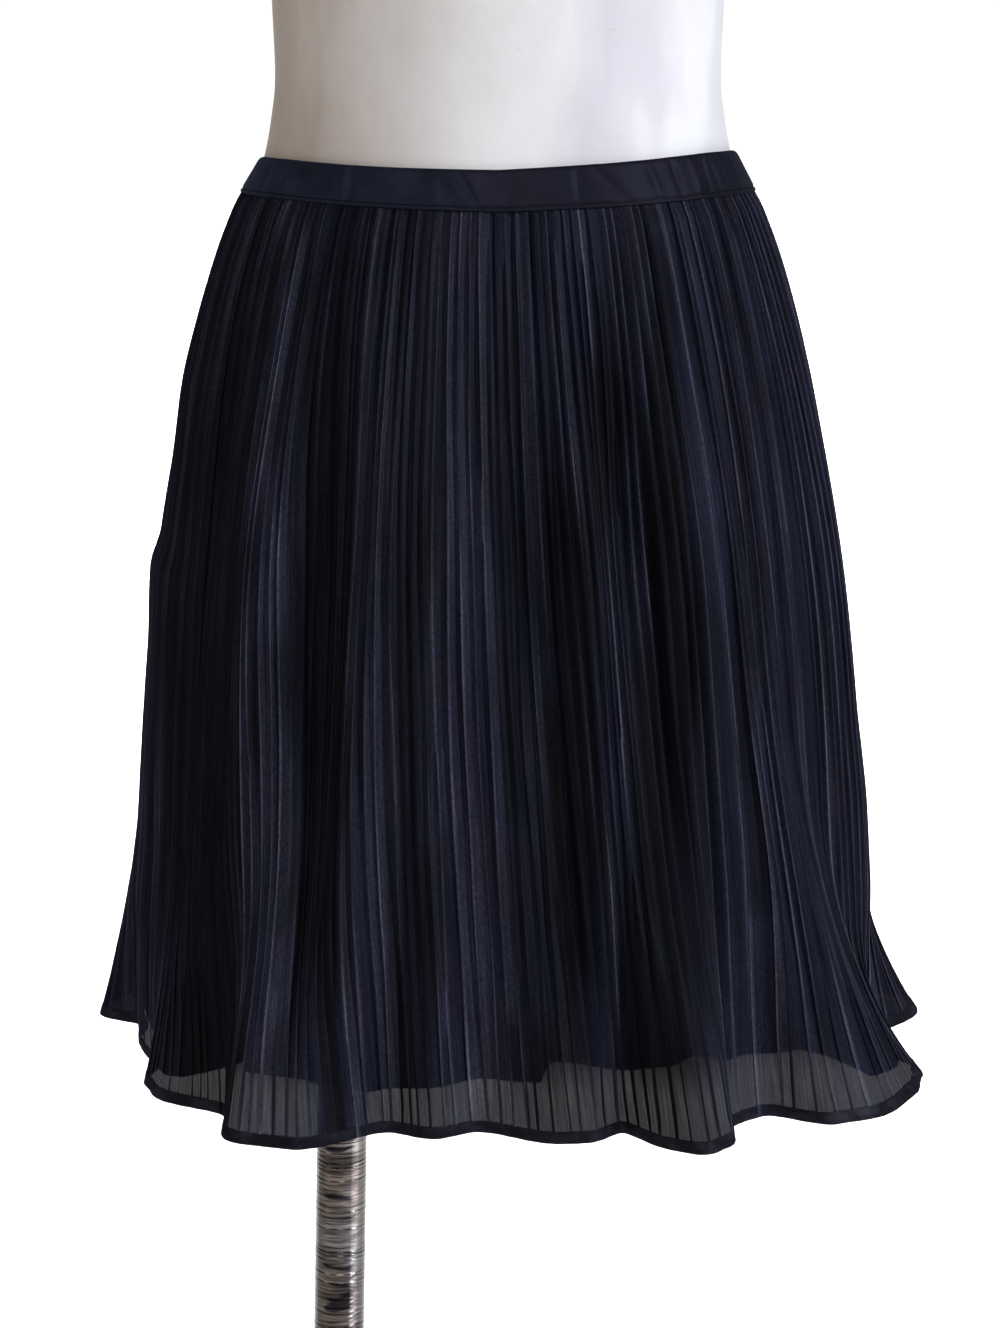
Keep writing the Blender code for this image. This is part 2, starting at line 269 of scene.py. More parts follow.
def outline(phi, z, folds=1.0, body=1.0):
    hw, fr, bk = section(SECTIONS, z)
    return oval(phi, hw, fr, bk) + folds * hem_fold(phi, z) + body * body_fold(phi, z)


def plan(phi, r):
    return np.stack([np.sin(phi) * r, -np.cos(phi) * r], -1)


class Noise:
    """Smooth seeded noise of one number, from a few sines."""

    def __init__(self, seed, count, low, high, waves=5):
        rng = np.random.default_rng(seed)
        self.f = rng.uniform(low, high, (count, waves))
        self.p = rng.uniform(0, 2 * math.pi, (count, waves))
        self.a = rng.uniform(0.4, 1.0, (count, waves))
        self.a /= np.sqrt((self.a ** 2).sum(1, keepdims=True) / 2)

    def __call__(self, x):
        return (self.a * np.sin(2 * math.pi * self.f * x + self.p)).sum(1)


# ---------------------------------------------------------------- meshes
def make_mesh(name, verts, faces, uv=None, smooth_faces=True):
    verts = np.asarray(verts, np.float32).reshape(-1, 3)
    mesh = bpy.data.meshes.new(name)
    faces = [np.asarray(f, np.int32) for f in faces if len(f)]
    loops = np.concatenate([f.reshape(-1) for f in faces])
    sizes = np.concatenate([np.full(len(f), f.shape[1], np.int32) for f in faces])
    starts = np.concatenate(([0], np.cumsum(sizes)[:-1])).astype(np.int32)
    mesh.vertices.add(len(verts))
    mesh.vertices.foreach_set("co", verts.reshape(-1))
    mesh.loops.add(len(loops))
    mesh.loops.foreach_set("vertex_index", loops)
    mesh.polygons.add(len(sizes))
    mesh.polygons.foreach_set("loop_start", starts)
    mesh.polygons.foreach_set("loop_total", sizes)
    mesh.update(calc_edges=True)
    mesh.validate()
    if uv is not None:
        layer = mesh.uv_layers.new(name="UVMap")
        layer.data.foreach_set("uv", np.asarray(uv, np.float32)[loops].reshape(-1))
    if smooth_faces:
        mesh.shade_smooth()
    obj = bpy.data.objects.new(name, mesh)
    bpy.context.scene.collection.objects.link(obj)
    return obj


def grid_faces(rows, cols, closed=False, base=0):
    """Quads that face outwards: rows run down, columns run with the angle."""
    idx = np.arange(rows * cols).reshape(rows, cols) + base
    if closed:
        idx = np.concatenate([idx, idx[:, :1]], 1)
    a, b, c, d = idx[:-1, :-1], idx[:-1, 1:], idx[1:, 1:], idx[1:, :-1]
    return np.stack([a, d, c, b], -1).reshape(-1, 4)


def grid_object(name, points, uv=None, closed=False):
    rows, cols = points.shape[:2]
    uv = None if uv is None else uv.reshape(-1, 2)
    return make_mesh(name, points, [grid_faces(rows, cols, closed)], uv)


def finish_piece(obj, slot, material, *nodes):
    obj.data.materials.clear()
    obj.data.materials.append(material)
    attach(obj, BODY)
    if nodes:
        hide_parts(*nodes)
    return obj


# ---------------------------------------------------------------- pleats
SIDES = {"front": (-math.pi / 2, math.pi / 2, 0.17, 11), "back": (math.pi / 2, 3 * math.pi / 2, 0.0, 23)}
PLEAT_SKEW = -0.30        # the pleats are a little wider at the right
SHELL_ROWS = np.concatenate((
    -np.linspace(0.0180, 0.0320, 8)[:-1],
    -np.linspace(0.0320, 0.4300, 86)[:-1],
    -np.linspace(0.4300, 0.4700, 16)))


def half_line(first, last, z, folds=1.0, body=1.0, fine=1500):
    """Run length, points and outward normals along half an outline."""
    phi = np.linspace(first, last, fine)
    p = plan(phi, outline(phi, z, folds, body))
    run = np.concatenate(([0.0], np.cumsum(np.hypot(*(p[1:] - p[:-1]).T))))
    t = np.gradient(p, axis=0)
    k = np.hanning(31)
    k /= k.sum()
    for j in (0, 1):  # the pleats stand on the softened line, so they never cross in a tight fold
        padded = np.concatenate((np.repeat(t[:1, j], 15), t[:, j], np.repeat(t[-1:, j], 15)))
        t[:, j] = np.convolve(padded, k, "valid")
    t /= np.hypot(t[:, 0], t[:, 1])[:, None]
    n = np.stack([t[:, 1], -t[:, 0]], -1)
    return run, p, n


def at(line, s):
    run, p, n = line
    s = np.clip(s, 0.0, run[-1])
    q = np.stack([np.interp(s, run, p[:, j]) for j in (0, 1)], -1)
    m = np.stack([np.interp(s, run, n[:, j]) for j in (0, 1)], -1)
    return q, m / np.hypot(m[:, 0], m[:, 1])[:, None]


def pleat_paths(side, edge):
    """Angle of each pleat line under the band and at the hem, from its share of the cloth."""
    first, last, crowd, seed = SIDES[side]
    fine = np.linspace(first, last, 1500)
    ends = []
    for z, c in ((-0.020, 0.0), (HEM_Z, crowd)):
        run = half_line(first, last, z)[0]
        s = (edge + c / (2 * math.pi) * np.sin(2 * math.pi * edge) + PLEAT_SKEW * (edge - edge * edge)) * run[-1]
        ends.append(np.interp(s, run, fine))
    return ends


# stretches of the ring where the pleats fold over to the right (degrees, back is 90 to 270)
TURNED = ((-68, -51), (-38, -27), (9, 17.5), (27, 38), (96, 108), (127, 139), (160, 168), (190, 204), (236, 250))

# hollows of the front that stay in shade: x and half width at drops of 6, 12, 21, 31, 40 and 44 cm, depth of shade
HOLLOW_Z = (-0.06, -0.12, -0.21, -0.31, -0.40, -0.44)
HOLLOWS = (
    ((0.0605, 0.0522, 0.0345, 0.0325, 0.0310, 0.0290), (0.0055, 0.0100, 0.0165, 0.0170, 0.0130, 0.0110), 0.84),
    ((0.0800, 0.0830, 0.0815, 0.0825, 0.0825, 0.0810), (0.0065, 0.0110, 0.0168, 0.0185, 0.0240, 0.0225), 1.00),
    ((-0.0860, -0.0850, -0.0840, -0.0840, -0.0840, -0.0840), (0.0070, 0.0095, 0.0115, 0.0110, 0.0065, 0.0050), 0.85),
    ((-0.0420, -0.0400, -0.0395, -0.0400, -0.0410, -0.0420), (0.0040, 0.0060, 0.0075, 0.0060, 0.0040, 0.0030), 0.70),
    ((0.0020, 0.0020, 0.0060, 0.0080, 0.0080, 0.0060), (0.0030, 0.0060, 0.0100, 0.0065, 0.0030, 0.0030), 0.72),
    ((-0.1200, -0.1380, -0.1480, -0.1500, -0.1500, -0.1480), (0.0155, 0.0185, 0.0220, 0.0228, 0.0225, 0.0220), 0.92),
    ((0.1160, 0.1200, 0.1250, 0.1290, 0.1300, 0.1300), (0.0020, 0.0030, 0.0045, 0.0030, 0.0015, 0.0010), 0.60),
    ((-0.1020, -0.1100, -0.1135, -0.1130, -0.1100, -0.1085), (0.0050, 0.0090, 0.0095, 0.0140, 0.0170, 0.0180), -0.76),
    ((-0.0640, -0.0620, -0.0605, -0.0610, -0.0620, -0.0620), (0.0070, 0.0080, 0.0080, 0.0085, 0.0100, 0.0100), -0.08),
    ((-0.0190, -0.0185, -0.0180, -0.0150, -0.0100, -0.0080), (0.0070, 0.0070, 0.0080, 0.0120, 0.0150, 0.0150), -0.10),
    ((0.1120, 0.1380, 0.1460, 0.1550, 0.1630, 0.1650), (0.0010, 0.0130, 0.0120, 0.0105, 0.0060, 0.0040), 0.30),
    ((0.1400, 0.1400, 0.1400, 0.1370, 0.1370, 0.1400), (0.0010, 0.0010, 0.0010, 0.0080, 0.0200, 0.0240), -0.16),
)


def hollow(x, y, z):
    """Shade of the deep hollows of the front, 0 to 1, and -1 to 0 where a broad fold lies open to the light."""
    total, open_face = np.zeros_like(x), np.zeros_like(x)
    order = slice(None, None, -1)
    for mids, widths, depth in HOLLOWS:
        mid = np.interp(z, HOLLOW_Z[order], mids[order])
        wide = np.interp(z, HOLLOW_Z[order], widths[order])
        edge = 0.0016 * np.sin(z * 61.0 + mids[0] * 300)
        part = depth * np.exp(-np.abs((x - mid - edge) / wide) ** 4.0) * smooth(-z, 0.025, 0.075)
        total = np.maximum(total, part)
        open_face = np.minimum(open_face, part)
    return (total + open_face * (1 - smooth(total, 0.05, 0.55))) * (y < 0)


def pleated(side):
    first, last, crowd, seed = SIDES[side]
    rng = np.random.default_rng(seed)
    base = np.clip(np.exp(rng.normal(0.0, 0.24, PLEATS)), 0.55, 1.75)
    base[[0, -1]] = 1.0
    edge = np.concatenate(([0.0], np.cumsum(base)))
    edge /= edge[-1]
    top, low = pleat_paths(side, edge)
    fine = np.linspace(first, last, 1500)
    # most pleats fold over to the left; in some stretches they lie the other way
    middle = ((top[:-1] + top[1:]) * 0.25 + (low[:-1] + low[1:]) * 0.25) / DEG
    other = np.zeros(PLEATS, bool)
    for lo_deg, hi_deg in TURNED:
        other |= (middle > lo_deg) & (middle < hi_deg)
    other ^= rng.uniform(0, 1, PLEATS) < 0.05
    other[[0, -1]] = False
    sway = Noise(seed + 1, PLEATS + 1, 0.4, 3.2)
    deep = Noise(seed + 2, PLEATS, 0.5, 3.0)
    lap = Noise(seed + 3, PLEATS, 0.4, 2.2)
    depth_i = np.clip(np.exp(rng.normal(0.0, 0.25, PLEATS)), 0.6, 1.6)
    lap_i = rng.normal(0.0, 1.0, PLEATS)
    sunk = -0.00045 * np.abs(rng.normal(0.0, 1.0, PLEATS)) * (rng.uniform(0, 1, PLEATS) < 0.5)
    # neighbours open and close together
    group = np.convolve(rng.normal(0, 1, PLEATS + 10), np.hanning(13)[1:-1] / 2.4, "valid")[:PLEATS]
    # each face keeps its own painted light and shade, each crest its own strength of painted highlight
    tone_i, tone_z = rng.normal(0, 0.32, PLEATS), Noise(seed + 5, PLEATS, 0.4, 2.8)
    crest_i, crest_z = rng.normal(0.46, 0.34, PLEATS), Noise(seed + 6, PLEATS, 0.6, 4.0)
    # the painted crest highlights are stronger towards the right of the front
    if side == "front":
        crest_i = crest_i + 0.20 * smooth(np.arange(PLEATS) / PLEATS, 0.68, 0.82)
    jitter_x, jitter_z = rng.normal(0, 0.0026, PLEATS), rng.normal(0, 0.022, PLEATS)
    rows_p, rows_uv, rows_c = [], [], []
    for z in SHELL_ROWS:
        line = half_line(first, last, z)
        total = line[0][-1]
        x = -z / 0.47
        w = float(np.clip((-z - 0.03) / 0.44, 0, 1)) ** 1.35
        s = np.interp(top + (low - top) * w, fine, line[0])
        s = s + 0.00036 * sway(x) * smooth(-z, 0.03, 0.15)
        s[0], s[-1] = 0.0, total
        s = np.maximum.accumulate(s)
        width = np.maximum(np.diff(s), 0.0012)
        # depth of each pleat: pressed under the band, full in the body, flat at the hem
        d0 = 0.0013 + 0.0013 * smooth(-z, 0.020, 0.060) - 0.0014 * smooth(-z, 0.35, 0.445) \
            - 0.0009 * smooth(-z, 0.455, 0.468)
        d = d0 * depth_i * np.clip(1 + 0.18 * deep(x), 0.5, 1.5)
        d = np.minimum(d, 0.62 * width)
        # lap of neighbouring pleats, + folds under, - stands open
        o0 = -0.0002 - 0.0007 * smooth(-z, 0.025, 0.08) + 0.0021 * smooth(-z, 0.38, 0.44)
        spread = 0.0006 + 0.0002 * smooth(-z, 0.04, 0.2) - 0.0005 * smooth(-z, 0.36, 0.44)
        o = o0 + spread * (0.6 * lap_i + 0.35 * lap(x) + 0.5 * group)
        o = np.clip(o, -0.42 * width, 0.34 * width)
        lie = float(smooth(-z, 0.395, 0.435))     # towards the hem every line is a small flat fold
        start = np.where(other, -d, sunk * (1 - lie))          # height of each face at its left and right end
        end = np.where(other, sunk * (1 - lie), -d)
        level = np.append(False, np.abs(start[1:] - end[:-1]) < 0.4 * d[1:])
        meet = 0.5 * (start[1:] + end[:-1])
        for i in np.nonzero(level)[0]:            # two pleats that lie against each other share an edge
            start[i] = meet[i - 1] + 0.00018 * lie
            end[i - 1] = meet[i - 1] - 0.00018 * lie
            o[i] = -0.0003 + (max(o[i], 0.0009) + 0.0003) * lie
        o[0] = 0.0
        o_next = np.append(o[1:], 0.0)
        s_next = np.append(start[1:], end[-1])
        a = s[:-1] - o / 2            # left edge of the face
        b = s[1:] + o_next / 2        # right edge
        face = b - a
        cols = []
        bulge = 0.07 * d
        high_left = start >= end
        crest = np.clip(crest_i + 0.26 * crest_z(x), 0.0, 1.0)
        for u in (0.0, 0.07, 0.24, 0.52, 0.78, 0.94, 1.0):
            v = min(max((u - 0.05) / 0.90, 0.0), 1.0)
            t = np.where(high_left, v ** 1.35, 1 - (1 - v) ** 1.35)
            h = start + (end - start) * t + bulge * math.sin(math.pi * u)
            from_crest = np.where(high_left, u, 1 - u)
            if u in (0.0, 1.0):
                h = h + np.where(from_crest == 0.0, -0.10, 0.06) * d
            shade = np.interp(from_crest, (0.0, 0.07, 0.24, 0.50, 0.78, 0.95, 1.0), (0.1, 0.0, 0.0, 0.02, 0.18, 0.80, 1.0)) \
                - crest * np.interp(from_crest, (0.0, 0.07, 0.24), (0.35, 1.0, 0.0))
            cols.append((a + face * u, h, shade))
        back = 0.5 * (end + s_next)
        cols.append(((b + s[1:] - o_next / 2) / 2, back, np.clip(-back / np.maximum(d, 1e-5) * 1.5, 0.2, 1.0)))
        ss = np.stack([c[0] for c in cols], 1).reshape(-1)
        hh = np.stack([c[1] for c in cols], 1).reshape(-1)
        cc = np.stack([c[2] for c in cols], 1).reshape(-1)
        ss = np.append(ss[:-1], total)       # ends in the side seam
        hh = np.append(hh[:-1], -0.5 * d0)
        cc = cc * np.where(cc > 0, 1 - 0.6 * lie, 1.0)
        hh[0] = -0.5 * d0
        ss[0] = 0.0
        q, n = at(line, ss)
        tuck = -0.0011 * (1 - smooth(-z, 0.0185, 0.0290))
        q = q + n * (hh + tuck + 0.0002)[:, None]
        phi = np.arctan2(q[:, 0], -q[:, 1])
        rows_p.append(np.column_stack([q, lifted(phi, z)]))
        mid = q[3::8]
        shade = hollow(mid[:, 0] + jitter_x, mid[:, 1], z + jitter_z)
        # in deep shade the crests hardly shine and gaps and faces lie close in tone
        deep_shade = np.maximum(shade, 0.0)
        tone = np.clip(tone_i + 0.15 * tone_z(x), -0.65, 0.65) * (1 - 0.35 * deep_shade)
        deep_shade = np.repeat(deep_shade, 8)
        cc = np.where(cc < 0, cc * (1 - 0.75 * deep_shade), cc * (1 + 3 * deep_shade))
        rows_c.append(np.column_stack([cc, np.repeat(shade, 8), dense_tip(phi, np.full(len(q), z)), np.repeat(tone, 8)]))
        step = np.hypot(*(q[1:] - q[:-1]).T)
        rows_uv.append(np.column_stack([np.concatenate(([0.0], np.cumsum(step))), np.full(len(ss), z)]))
    points, uv = np.array(rows_p), np.array(rows_uv)
    cut = np.cumsum(np.median(np.diff(uv[:, :, 0], axis=1), axis=0))   # one cloth width for all rows
    uv[:, 1:, 0] = cut
    uv[:, 0, 0] = 0.0
    return points, uv, np.array(rows_c)


# where folds of the hem lie doubled and close the sheer strip: from, to (degrees), how far
DOUBLED = ((-38.6, -34.2, 0.85), (20.6, 22.6, 0.8), (30.2, 37.6, 0.75), (40.6, 44.4, 0.85), (-44.8, -42.2, 0.6))


def dense_tip(phi, z):
    """Where the flutes close on themselves, 0 to 1."""
    deg = (phi / DEG + 180.0) % 360.0 - 180.0
    total = smooth(np.abs(deg), 74.0, 80.0) * (1 - smooth(np.abs(deg), 118.0, 128.0))
    for lo_deg, hi_deg, much in DOUBLED:
        total = np.maximum(total, much * smooth(deg, lo_deg - 0.8, lo_deg + 0.4) * (1 - smooth(deg, hi_deg - 0.4, hi_deg + 0.8)))
    return total


def point_values(obj, **values):
    for name, v in values.items():
        layer = obj.data.attributes.new(name, "FLOAT", "POINT")
        layer.data.foreach_set("value", np.asarray(v, np.float32).reshape(-1))


# ---------------------------------------------------------------- materials
class Nodes:
    def __init__(self, name, color, rough, metal=0.0, specular=0.5):
        self.mat = bpy.data.materials.new(name)
        self.mat.use_nodes = True
        self.tree = self.mat.node_tree
        self.bsdf = self.tree.nodes["Principled BSDF"]
        self.set(self.bsdf, "Base Color", (*color, 1.0))
        self.set(self.bsdf, "Roughness", rough)
        self.set(self.bsdf, "Metallic", metal)
        self.set(self.bsdf, "Specular IOR Level", specular)
        self.mat.diffuse_color = (*color, 1.0)

    @staticmethod
    def set(node, socket, value):
        node.inputs[socket].default_value = value

    def add(self, kind, **props):
        n = self.tree.nodes.new(kind)
        for k, v in props.items():
            setattr(n, k, v)
        return n

    def link(self, a, out, b, into):
        self.tree.links.new(a.outputs[out], b.inputs[into])

    def coords(self, kind="Object", scale=(1, 1, 1)):
        t = self.add("ShaderNodeTexCoord")
        m = self.add("ShaderNodeMapping")
        m.inputs["Scale"].default_value = scale
        self.link(t, kind, m, "Vector")
        return m

    def noise(self, coords, scale, detail=3.0, rough=0.55, distortion=0.0):
        n = self.add("ShaderNodeTexNoise")
        n.inputs["Scale"].default_value = scale
        n.inputs["Detail"].default_value = detail
        n.inputs["Roughness"].default_value = rough
        n.inputs["Distortion"].default_value = distortion
        self.link(coords, "Vector", n, "Vector")
        return n

    def ramp(self, node, out, stops):
        r = self.add("ShaderNodeValToRGB")
        e = r.color_ramp.elements
        while len(e) < len(stops):
            e.new(0.5)
        for el, (pos, col) in zip(e, stops):
            el.position = pos
            el.color = (*col, 1.0) if hasattr(col, "__len__") else (col, col, col, 1.0)
        self.link(node, out, r, "Fac")
        return r

    def mapped(self, node, out, low, high, a=0.0, b=1.0):
        m = self.add("ShaderNodeMapRange")
        m.inputs["From Min"].default_value = a
        m.inputs["From Max"].default_value = b
        m.inputs["To Min"].default_value = low
        m.inputs["To Max"].default_value = high
        self.link(node, out, m, "Value")
        return m

    def bump(self, node, out, strength, distance, before=None):
        b = self.add("ShaderNodeBump")
        b.inputs["Strength"].default_value = strength
        b.inputs["Distance"].default_value = distance
        self.link(node, out, b, "Height")
        if before is not None:
            self.link(before, "Normal", b, "Normal")
        return b

    def wave(self, coords, scale, axis="X", distortion=0.0, detail=0.0, detail_scale=1.0):
        w = self.add("ShaderNodeTexWave", wave_type="BANDS", bands_direction=axis, wave_profile="SIN")
        w.inputs["Scale"].default_value = scale
        w.inputs["Distortion"].default_value = distortion
        w.inputs["Detail"].default_value = detail
        w.inputs["Detail Scale"].default_value = detail_scale
        self.link(coords, "Vector", w, "Vector")
        return w

    def math(self, op, a, out_a, b, out_b=None):
        m = self.add("ShaderNodeMath", operation=op)
        self.link(a, out_a, m, 0)
        if out_b is None:
            m.inputs[1].default_value = b
        else:
            self.link(b, out_b, m, 1)
        return m


def add_gloss(k, color, rough, bump=None):
    """A faint even gloss over the cloth."""
    g = k.add("ShaderNodeBsdfGlossy")
    g.inputs["Color"].default_value = (*color, 1.0)
    g.inputs["Roughness"].default_value = rough
    if bump is not None:
        k.link(bump, "Normal", g, "Normal")
    both = k.add("ShaderNodeAddShader")
    k.link(k.bsdf, "BSDF", both, 0)
    k.link(g, "BSDF", both, 1)
    k.link(both, "Shader", k.tree.nodes["Material Output"], "Surface")


Nodes.gloss = add_gloss


def woven(k, pitch):
    """Plain weave height from two crossed waves, threads pitch apart."""
    c = k.coords("UV")
    # the wave texture has 2 pi / 20 of its unit in a period
    s = 2 * math.pi / (20.0 * pitch)
    u = k.wave(c, s, "X", 0.4, 1.0, 2.0)
    v = k.wave(c, s, "Y", 0.4, 1.0, 2.0)
    return k.math("MULTIPLY", u, "Fac", v, "Fac"), c


def chiffon():
    k = Nodes("pleated_chiffon_look", (0.0095, 0.0098, 0.0175), 0.55, specular=0.0)
    k.set(k.bsdf, "Sheen Weight", 0.012)
    k.set(k.bsdf, "Sheen Roughness", 0.45)
    k.set(k.bsdf, "Sheen Tint", (0.62, 0.66, 0.90, 1.0))
    weave, uv = woven(k, 0.00036)
    streak = k.noise(k.coords("UV", (520.0, 11.0, 1.0)), 1.0, 3.0, 0.6)
    thin = k.noise(k.coords("UV", (1500.0, 26.0, 1.0)), 1.0, 2.0, 0.6)
    broad = k.noise(k.coords("Object", (1.5, 1.5, 0.24)), 30.0, 3.0, 0.6)
    hue = k.noise(k.coords("Object", (1, 1, 0.22)), 75.0, 2.0)
    grain = k.noise(k.coords("Object", (1, 1, 0.45)), 1100.0, 2.0, 0.6)
    colour = k.ramp(streak, "Fac", ((0.30, (0.0068, 0.0071, 0.0126)), (0.52, (0.0096, 0.0100, 0.0180)),
                                    (0.74, (0.0145, 0.0150, 0.0265)))) 
    fine = k.add("ShaderNodeMixRGB", blend_type="MULTIPLY")
    fine.inputs["Fac"].default_value = 0.55
    k.link(colour, "Color", fine, "Color1")
    k.link(k.ramp(thin, "Fac", ((0.30, (0.55, 0.55, 0.58)), (0.50, (0.95, 0.95, 0.96)), (0.72, (1.65, 1.62, 1.55)))),
           "Color", fine, "Color2")
    tint = k.add("ShaderNodeMixRGB", blend_type="MULTIPLY")
    tint.inputs["Fac"].default_value = 0.72
    k.link(fine, "Color", tint, "Color1")
    k.link(k.ramp(broad, "Fac", ((0.34, (0.58, 0.56, 0.47)), (0.50, (0.98, 0.98, 0.98)), (0.66, (1.26, 1.25, 1.27)))), "Color", tint, "Color2")
    shade = k.add("ShaderNodeMixRGB", blend_type="MULTIPLY")
    shade.inputs["Fac"].default_value = 0.6
    k.link(tint, "Color", shade, "Color1")
    k.link(k.ramp(hue, "Fac", ((0.30, (0.80, 1.07, 1.04)), (0.50, (0.96, 1.01, 1.03)), (0.70, (1.06, 0.99, 1.00)))),
           "Color", shade, "Color2")
    # pressed edges of the pleats catch the light, their hollows don't
    cav = k.add("ShaderNodeAttribute", attribute_name="cavity")
    hol = k.add("ShaderNodeAttribute", attribute_name="hollow")
    den = k.add("ShaderNodeAttribute", attribute_name="dense")
    ton = k.add("ShaderNodeAttribute", attribute_name="tone")
    edge = k.ramp(k.mapped(cav, "Fac", 0.0, 1.0, -1.0, 0.0), "Result", ((0.0, (5.4, 5.05, 4.3)), (1.0, (0.96, 0.96, 0.96))))
    pit = k.mapped(cav, "Fac", 1.0, 2.3, 0.0, 4.0)
    # each pleat face gets its own painted light and shade
    face = k.ramp(k.mapped(ton, "Fac", 0.0, 1.0, -0.65, 0.65), "Result",
                  ((0.0, (0.46, 0.48, 0.56)), (0.5, (0.94, 0.95, 0.97)), (1.0, (1.72, 1.68, 1.55))))
    shaded = k.ramp(k.mapped(hol, "Fac", 0.0, 1.0, -1.0, 1.0), "Result",
                    ((0.0, (3.0, 3.0, 2.95)), (0.5, (1.0, 1.0, 1.0)), (1.0, (0.36, 0.355, 0.235))))
    crinkle = k.ramp(grain, "Fac", ((0.34, (0.66, 0.66, 0.68)), (0.50, (0.98, 0.98, 0.98)), (0.66, (1.36, 1.35, 1.32))))
    for extra in (face, shaded, crinkle, edge):
        dark = k.add("ShaderNodeMixRGB", blend_type="MULTIPLY")
        dark.inputs["Fac"].default_value = 1.0
        k.link(shade, "Color", dark, "Color1")
        k.link(extra, "Color", dark, "Color2")
        shade = dark
    dark = k.add("ShaderNodeMixRGB", blend_type="MULTIPLY")
    dark.inputs["Fac"].default_value = 1.0
    k.link(shade, "Color", dark, "Color1")
    k.link(pit, "Result", dark, "Color2")
    k.link(dark, "Color", k.bsdf, "Base Color")
    rough = k.mapped(streak, "Fac", 0.42, 0.62, 0.3, 0.7)
    k.link(rough, "Result", k.bsdf, "Roughness")
    b1 = k.bump(streak, "Fac", 0.45, 0.00045)
    b2 = k.bump(weave, "Value", 0.25, 0.00006, b1)
    k.link(b2, "Normal", k.bsdf, "Normal")
    # closely pleated above, it lets light through only where it hangs free of the lining
    where = k.add("ShaderNodeSeparateXYZ")
    k.link(k.coords("Object"), "Vector", where, "Vector")
    free = k.mapped(where, "Z", 1.0, 0.0, WAIST_Z - 0.446, WAIST_Z - 0.428)
    sheer = k.math("ADD", k.mapped(weave, "Value", 0.488, 0.499), "Result", k.mapped(thin, "Fac", 0.501, 0.481, 0.3, 0.7), "Result")
    mix = k.add("ShaderNodeMapRange")
    k.link(free, "Result", mix, "Value")
    mix.inputs["To Min"].default_value = 0.996
    k.link(sheer, "Value", mix, "To Max")
    full = k.math("MAXIMUM", mix, "Result", k.mapped(den, "Fac", 0.0, 0.9985), "Result")
    k.link(full, "Value", k.bsdf, "Alpha")
    k.gloss((0.0040, 0.0042, 0.0060), 0.50, b2)
    return k.mat


def turned_hem():
    k = Nodes("turned_hem_look", (0.0130, 0.0126, 0.0200), 0.60, specular=0.0)
    weave, uv = woven(k, 0.00036)
    blot = k.noise(k.coords("Object", (1, 1, 1.6)), 85.0, 4.0, 0.65)
    c = k.ramp(blot, "Fac", ((0.35, (0.0052, 0.0053, 0.0080)), (0.52, (0.0098, 0.0098, 0.0145)),
                             (0.72, (0.0250, 0.0248, 0.0290))))
    k.link(c, "Color", k.bsdf, "Base Color")
    b = k.bump(blot, "Fac", 0.4, 0.0005)
    k.link(k.bump(weave, "Value", 0.3, 0.00008, b), "Normal", k.bsdf, "Normal")
    k.link(k.mapped(blot, "Fac", 0.996, 0.975, 0.35, 0.7), "Result", k.bsdf, "Alpha")
    k.gloss((0.006, 0.006, 0.008), 0.45)
    return k.mat


def lining_cloth():
    k = Nodes("lining_look", (0.0050, 0.0050, 0.0070), 0.55, specular=0.0)
    weave, uv = woven(k, 0.00030)
    blot = k.noise(k.coords("Object", (1, 1, 0.4)), 18.0, 3.0)
    k.link(k.ramp(blot, "Fac", ((0.3, (0.0042, 0.0042, 0.0066)), (0.7, (0.0075, 0.0074, 0.0115)))),
           "Color", k.bsdf, "Base Color")
    k.link(k.mapped(blot, "Fac", 0.44, 0.60, 0.3, 0.7), "Result", k.bsdf, "Roughness")
    b = k.bump(blot, "Fac", 0.25, 0.0012)
    k.link(k.bump(weave, "Value", 0.2, 0.00005, b), "Normal", k.bsdf, "Normal")
    return k.mat


